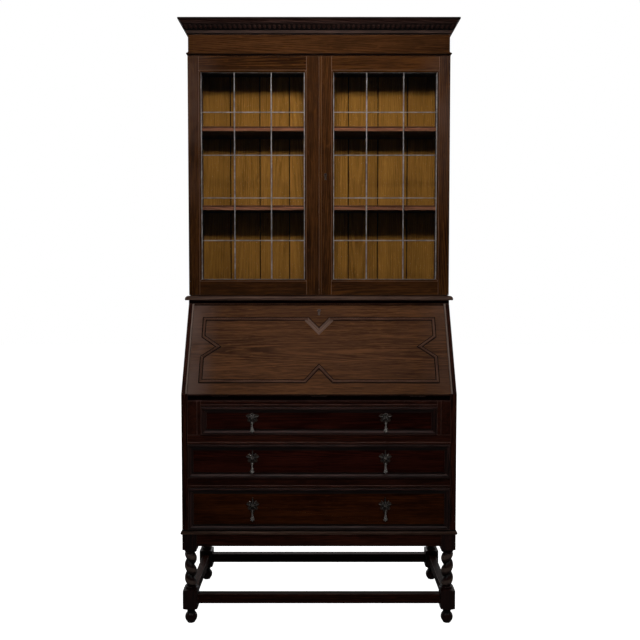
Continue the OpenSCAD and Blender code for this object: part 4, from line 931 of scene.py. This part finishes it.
# %% Fall moulding
# painted shade: the section's marks darken its outer edge and the grooves beside the reeds
reeds = [(0.2, 0, 1), (0.2, 0.6, 1), (-3, 0.6, 1), (-3.2, 1.8, 0.3)]
reeds += arc(-4.9, 1.7, 1.7, 20, 160, 6) + [(-6.7, 1.5, 0.7)] + arc(-8.5, 1.7, 1.6, 20, 160, 6)
reeds += [(-10.2, 1.6, 0.3), (-10.4, 0.6, 1), (-13.5, 0.6, 1), (-13.5, 0, 1)]
w, low, high, mid = HALF_IN - 34.5, 39.0, 282.0, 171.0  # the frame's half width and heights
outline = np.array([  # points reach 50 up from below, 48 in from the sides, 38 down from above
    (-w, low), (-44, low), (0, low + 50), (44, low), (w, low), (w, mid - 35), (w - 48, mid),
    (w, mid + 35), (w, high), (35, high), (0, high - 38), (-35, high), (-w, high),
    (-w, mid + 35), (-w + 48, mid), (-w, mid - 35)])
POINT = slice(9, 12)  # the three corners of the upper point
SHADOW_UP = 332.4  # where the painted shadow line lies up the slope
PALER_V = -0.35
fall_out = on_fall(0, 0, 1) - on_fall(0, 0, 0)
made = mitred("fall_reeds", on_fall(*outline.T, 0), reeds, fall_out, [REED], closed=True, gap=0.15,
              marks={9: (3.1, PALER_V), 10: (3.1, PALER_V)})
place(made, "fall_moulding", "dark_oak", "fall_moulding")
vee = [(-13.3, 0), (-13.3, 1.5), (-19.4, 1.2), (-19.8, 0)]
made = mitred("fall_point", on_fall(*outline[POINT].T, 0), vee, fall_out, [REED],
              marks={0: (0, PALER_V), 1: (0, PALER_V)})
place(made, "fall_moulding", "dark_oak")
shadow_ends = on_fall(np.array([0.6 - HALF_IN, HALF_IN - 0.6]), SHADOW_UP, 0)
made = mitred("fall_top_painted_shadow", shadow_ends, [(0, 0), (0, 0.3), (5, 0.3), (5, 0)], fall_out, [PAINTED_SHADOW],
              gap=0)
place(made, "fall_panel", "dark_oak")
print("reeds with", len(outline), "mitres")

# %% [markdown]
# ## Beads along the case's front edges
#
# The front edges of the bureau's sides are reeded from top to bottom, and a bead follows the
# slope beside the fall. Each is a half round laid on the edge. The sloping one has a pale
# finish as painted sheen and a painted highlight on its crest, and painted shade in a groove
# along both its sides.

# %% Edge beads
REEDS_X, REED_FOOT = (441.7, 448.0, 454.3), 323.0
SLOPE_X = 441.6  # the bead beside the fall
reed = [(-3.0, 0)] + arc(0, 0, 3.0, 180, 0, 9)
flat_reed = [(x, z * 0.45) for x, z in reed]
# painted shade in the grooves beside the bead, and a painted highlight (-1) on its crest
slope_bead = [(-2.9, 0, 0.6), (-2.9, 0.5, 0.6), (-2.6, 0.5, 0.3)]
slope_bead += [(x * 0.8, z * 0.7 + 0.3, -1) for x, z in reed]
slope_bead += [(2.5, 0.5, 0.8), (3.2, 0.5, 0.8), (3.2, 0, 0.8)]
for side, hand in ((-1, "left"), (1, "right")):
    node = f"lower_{hand}_side"
    for k, x in enumerate(REEDS_X):
        line = at(side * x, 0, np.array([REED_FOOT, FALL_Z - 1.0]))
        place(mitred(f"{node}_reed_{k + 1}", line, flat_reed, (0, -1, 0), [STAND], gap=0),
              node, "dark_oak")
    line = on_fall(side * SLOPE_X, np.array([1.0, SLOPE_L]), 0)
    turned = [(x * side, *rest) for x, *rest in slope_bead][::-side]
    place(mitred(f"{node}_slope_bead", line, turned, fall_out, [SHEEN_BEAD], gap=0),
          node, "dark_oak")
print("edge beads laid")

# %% [markdown]
# ## Brass and lead
#
# The handles are cast brass that has gone brown. Their leafy plates are tarnished, the
# drops are rubbed bright by fingers, and the flat plates, the locks and the fall's hinges are
# darkest, partly from tarnish and partly as painted shade in the hollows and under the fall.
# Lead cames are dull grey with a soft sheen. All are metals, so their colour is in
# the reflection.


# %% Metal materials
def metal(name, dark, light, rough, scale, metallic=0.8):
    """Old metal: two colours mixed by patches of tarnish, rougher where it is dark, and
    blackened as tarnish where the vertices' shade_and_tarnish mark is high."""
    t = Tree(bpy.data.materials.new(name))
    place_now = t.node("ShaderNodeTexCoord", out="Object")
    patches, grit = t.cloud(place_now, scale, 4.0, 0.65), t.cloud(place_now, scale * 9)
    share = t.ease(patches * 0.8 + grit * 0.2, 0.38, 0.62)
    return t.finish(t.node("ShaderNodeBsdfPrincipled", {}, {
        "Base Color": t.mix(t.fact("shade_and_tarnish"), t.mix(share, dark, light), [c * 0.3 for c in dark]),
        "Roughness": rough + (0.5 - share) * 0.2, "Metallic": metallic,
        "Normal": t.bump(0.3, 0.0003, patches + grit * 0.4)}))


BRASS = metal("tarnished brass", (0.05, 0.04, 0.034), (0.5, 0.46, 0.42), 0.28, 260)
DROP = metal("rubbed brass", (0.22, 0.2, 0.18), (0.8, 0.76, 0.72), 0.24, 200)
PLATE = metal("dark brass", (0.03, 0.02, 0.015), (0.12, 0.09, 0.075), 0.40, 900)
LEAD = metal("lead came", (0.13, 0.115, 0.112), (0.27, 0.25, 0.245), 0.5, 40, metallic=0.3)
print("brass and lead are ready")

# %% Fittings from the frame
for node in ("fall_hinge_fixed_leaves", "fall_hinge_moving_leaves", "door_hinge_fixed_leaves",
             "left_door_hinge_leaves", "right_door_hinge_leaves", "shelf_pegs", "fall_lock",
             "door_lock", "top_drawer_plates", "middle_drawer_plates", "bottom_drawer_plates"):
    # PLATE, the dark brass: tarnish, and painted shade in the hollows and under the fall
    finish = BRASS if "door_hinge" in node or node == "shelf_pegs" else PLATE
    softened(node, "brass", finish, finish, bevel=0.25)
print("hinges, locks, pegs and plates in brass")

# %% [markdown]
# ## Handles
#
# A handle is a leafy cast plate with a drop like a small bell. The plate is a
# surface in polar form: the outline swells into seven leaf tips, three up, two out and two
# down, and the height falls from the middle to the rim with a vein along each leaf.
# The drop is turned, a profile spun round its own axis, under a ring that hangs on the pin.

# %% Leaf plates
HANDLE_X, PLATE_OUT = 221.0, 2.5  # mm from the middle, and the thickness under the leaves
TIPS = np.radians([90, 54, 126, 12, 168, -42, 222])
WIDTHS = np.array([0.20, 0.17, 0.17, 0.19, 0.19, 0.24, 0.24])


def leaf_plate(node, z_plate, rise):
    """The two plates of a drawer. The rim is 9.6 + 0.7 cos 22 t + the sum over the tips of
    reach exp(-|off / width|^1.6), and the height over the flat plate is 0.3 + 2.4 (1 - s^2.4) +
    (0.9 vein - 0.5 cos^2 11 t) s (1 - s^3), with s from 0 in the middle to 1 at the rim. rise
    is the reach of the upper leaf. Wax lies between the veins."""
    turn = (np.arange(120) * 2 * pi / 120)[:, None]
    s = np.linspace(0, 1, 15)[None, 1:]
    reach = np.array([rise, 0.5 * rise + 2, 0.5 * rise + 2, 13.5, 13.5, 6.0, 6.0])
    off = (turn - TIPS + pi) % (2 * pi) - pi
    swell = (reach * np.exp(-np.abs(off / WIDTHS) ** 1.6)).sum(1, keepdims=True)
    rim = 9.6 + swell + 0.7 * np.cos(turn * 22)
    vein = np.exp(-(off / 0.07) ** 2).sum(1, keepdims=True)
    ripple = (0.9 * vein - 0.5 * np.cos(turn * 11) ** 2) * s * (1 - s**3)
    height = PLATE_OUT + 0.3 + 2.4 * (1 - s**2.4) + ripple
    height, r = np.hstack([height, 0 * turn]), np.hstack([s * rim, rim])
    points, faces, first = [], [], 0
    rows, columns = r.shape
    for side in (-1, 1):
        x = side * HANDLE_X
        points.append(at(x + r * np.cos(turn), -height, z_plate + r * np.sin(turn)).reshape(-1, 3))
        points.append(at(x, -(PLATE_OUT + 2.9), z_plate).reshape(1, 3))
        faces += patch(rows, columns, around=True, first=first)
        centre = first + rows * columns
        ring = first + np.arange(rows) * columns
        faces += np.stack([np.full(rows, centre), ring, np.roll(ring, -1)], 1).tolist()
        faces.append((ring + columns - 1).tolist())
        first = centre + 1
    dark_in_hollows = np.clip(1.15 - 1.5 * vein - 0.7 * (1 - r / 11), 0, 0.95) * (r > 5)
    made = build(node + "_leaf", np.vstack(points), faces, [BRASS], (0, 0, 1), 50,
                 shade_and_tarnish=np.tile(np.append(dark_in_hollows.ravel(), 0), 2))
    return place(made, node, "brass")


print("a plate has", len(TIPS), "leaf tips")

# %% Drops
EYE_R, EYE_T, EYE_W = 2.05, 0.75, 2.0  # the ring over a drop: radius, thickness, half width
BELL = np.array([  # radius in mm at a share of the drop's length
    (1.7, 0.0), (1.6, 0.05), (2.9, 0.08), (2.9, 0.11), (2.2, 0.14), (2.7, 0.25), (3.4, 0.38),
    (4.3, 0.50), (5.5, 0.62), (6.7, 0.72), (7.5, 0.79), (7.4, 0.82), (6.6, 0.835), (4.4, 0.85),
    (2.4, 0.865), (1.5, 0.89), (1.8, 0.93), (1.2, 0.98), (0.0, 1.0)]).T


def drop(node, around=28, rows=58):
    """A turned bell, the radius of BELL spun round its axis, under an eye: a ring of radius
    EYE_R round the pin, whose own section is an oval of EYE_W by EYE_T."""
    low, high = (np.array(c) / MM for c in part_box(node))
    x, depth, top = (low[0] + high[0]) / 2, (low[1] + high[1]) / 2 - FRONT, high[2] - 2.8
    steps = np.linspace(0, BELL.shape[1] - 1, rows)
    r, share = (np.interp(steps, np.arange(BELL.shape[1]), row)[:, None] for row in BELL)
    turn = np.arange(around) * 2 * pi / around
    body = at(x + r * np.cos(turn), depth + r * np.sin(turn), top - (top - low[2]) * share)
    a, b = np.meshgrid(np.arange(24) * 2 * pi / 24, np.arange(10) * 2 * pi / 10, indexing="ij")
    r = EYE_R + EYE_T * np.sin(b)
    eye = at(x + EYE_W * np.cos(b), depth + r * np.cos(a), top + r * np.sin(a))
    faces = patch(rows, around, closed=True)
    faces += patch(24, 10, around=True, closed=True, first=rows * around)
    points = np.vstack([body.reshape(-1, 3), eye.reshape(-1, 3)])
    made = build(node + "_bell", points, faces, [DROP], (0, 0, 1), 50)
    return place(made, node, "brass", node)


print("a bell turned from", BELL.shape[1], "radii")

# %% Handles in place
PLATES = {"top": (702.5, 6.5), "middle": (566.5, 18.0), "bottom": (406.0, 19.0)}
for name, (z_plate, rise) in PLATES.items():
    leaf_plate(name + "_drawer_plates", z_plate, rise)
    for hand in ("left", "right"):
        drop(f"{name}_{hand}_drop")
print("six leaf plates and six drops")

# %% [markdown]
# ## Leaded glass
#
# Each door holds fifteen panes in strips of lead. A strip, a came, is shaped like a
# letter H and its flanges are slightly round. Where cames cross, a blob of solder joins
# them. The panes are old sheet glass, a little uneven, so that reflections wander. Glass
# lets lamps through only if shadow rays may pass, which the Light Path node allows.


# %% Glass material
TINT = (0.93, 0.95, 0.94)


def old_glass():
    """Clear glass, a little green, with a slow ripple. Shadow rays meet a plain tint."""
    t = Tree(bpy.data.materials.new("old sheet glass"))
    ripple = t.cloud(t.node("ShaderNodeTexCoord", out="Object"), 14.0, 1.0)
    body = t.node("ShaderNodeBsdfPrincipled", {}, {
        "Base Color": TINT, "Roughness": 0.02, "Transmission Weight": 1.0, "IOR": 1.45,
        "Specular IOR Level": 0.35, "Normal": t.bump(0.25, 0.002, ripple)})
    clear = t.node("ShaderNodeBsdfTransparent", {}, {"Color": TINT})
    either = t.node("ShaderNodeMixShader", {}, {0: t.ray("Is Shadow Ray"), 1: body, 2: clear})
    return t.finish(either)


GLASS = old_glass()
for hand in ("left", "right"):
    node = hand + "_door_glass"
    NODES[node].data.materials.clear()
    NODES[node].data.materials.append(GLASS)
print("thirty panes of old glass")

# %% Cames and solder
GLASS_D, LEAD_T, HEART = 176.7, 5.0, 1.6  # depth of the glass, thickness and middle of a came
UPRIGHT, LEVEL = 2.1, 1.7  # half the width of the inner cames
EDGE_X, EDGE_Z = 8.1, 7.15  # and of the outer ones, at the sides and at top and bottom
ACROSS, ALONG = 12, 41  # points round a came and along it


def came(half, thick):
    """A came's rounded section, across it and through it: half |cos a|^0.7 and
    thick / 2 |sin a|^0.9, with the signs of cos a and sin a."""
    a = np.arange(ACROSS) * 2 * pi / ACROSS
    across = half * np.sign(np.cos(a)) * abs(np.cos(a)) ** 0.7
    through = thick / 2 * np.sign(np.sin(a)) * abs(np.sin(a)) ** 0.9
    return across, through


def solder(x, z, depth, face):
    """A flat blob on one face of a crossing: its radius is 3.3 sin v and its height 1.1 cos v."""
    t, v = np.meshgrid(np.arange(14) * 2 * pi / 14, np.linspace(0, pi / 2, 6))
    r, h = 3.3 * np.sin(v), 1.1 * np.cos(v)
    return at(x + r * np.cos(t), depth + face * (LEAD_T / 2 - 0.45 + h), z + r * np.sin(t) * 0.85)


print("a came has", ACROSS, "points round and", ALONG, "along")


# %% Leads in both doors
def leading(hand):
    """The leads of a door: came along straight lines, and solder where they cross."""
    node = hand + "_door_leading"
    low, high = (np.array(c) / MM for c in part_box(node))
    mid = GLASS_D + LEAD_T / 2
    xs = np.linspace(low[0] + HEART / 2, high[0] - HEART / 2, 4)[1:-1]
    zs = np.linspace(low[2] + HEART / 2, high[2] - HEART / 2, 6)[1:-1]
    bars = [("z", x, UPRIGHT) for x in xs] + [("x", z, LEVEL) for z in zs]
    bars += [("z", x, EDGE_X) for x in (low[0] + EDGE_X, high[0] - EDGE_X)]
    bars += [("x", z, EDGE_Z) for z in (low[2] + EDGE_Z, high[2] - EDGE_Z)]
    points, faces, first = [], [], 0
    for way, where, half in bars:
        axis = 2 if way == "z" else 0
        across, through = came(half, LEAD_T if way == "z" else LEAD_T - 0.3)
        run = np.linspace(low[axis], high[axis], ALONG)[:, None]
        grid = (at(where + across, mid + through, run) if way == "z"
                else at(run, mid + through, where + across))
        points.append(grid.reshape(-1, 3))
        faces += tube(ALONG, ACROSS, first)
        first += ALONG * ACROSS
    for x, z, face in ((x, z, face) for x in xs for z in zs for face in (-1, 1)):
        grid = solder(x, z, mid, face)
        rows, columns = grid.shape[:2]
        points.append(grid.reshape(-1, 3))
        faces += patch(rows, columns, closed=True, first=first)
        first += rows * columns
        faces.append(list(range(first - columns, first)))
    made = build(node + "_cames", np.vstack(points), faces, [LEAD], (0, 0, 1), 50)
    return place(made, node, "lead", node)


for hand in ("left", "right"):
    leading(hand)
print("cames and solder joints in both doors")

# %% [markdown]
# ## The end

# %% The end
bpy.context.scene.view_settings.view_transform = "Standard"
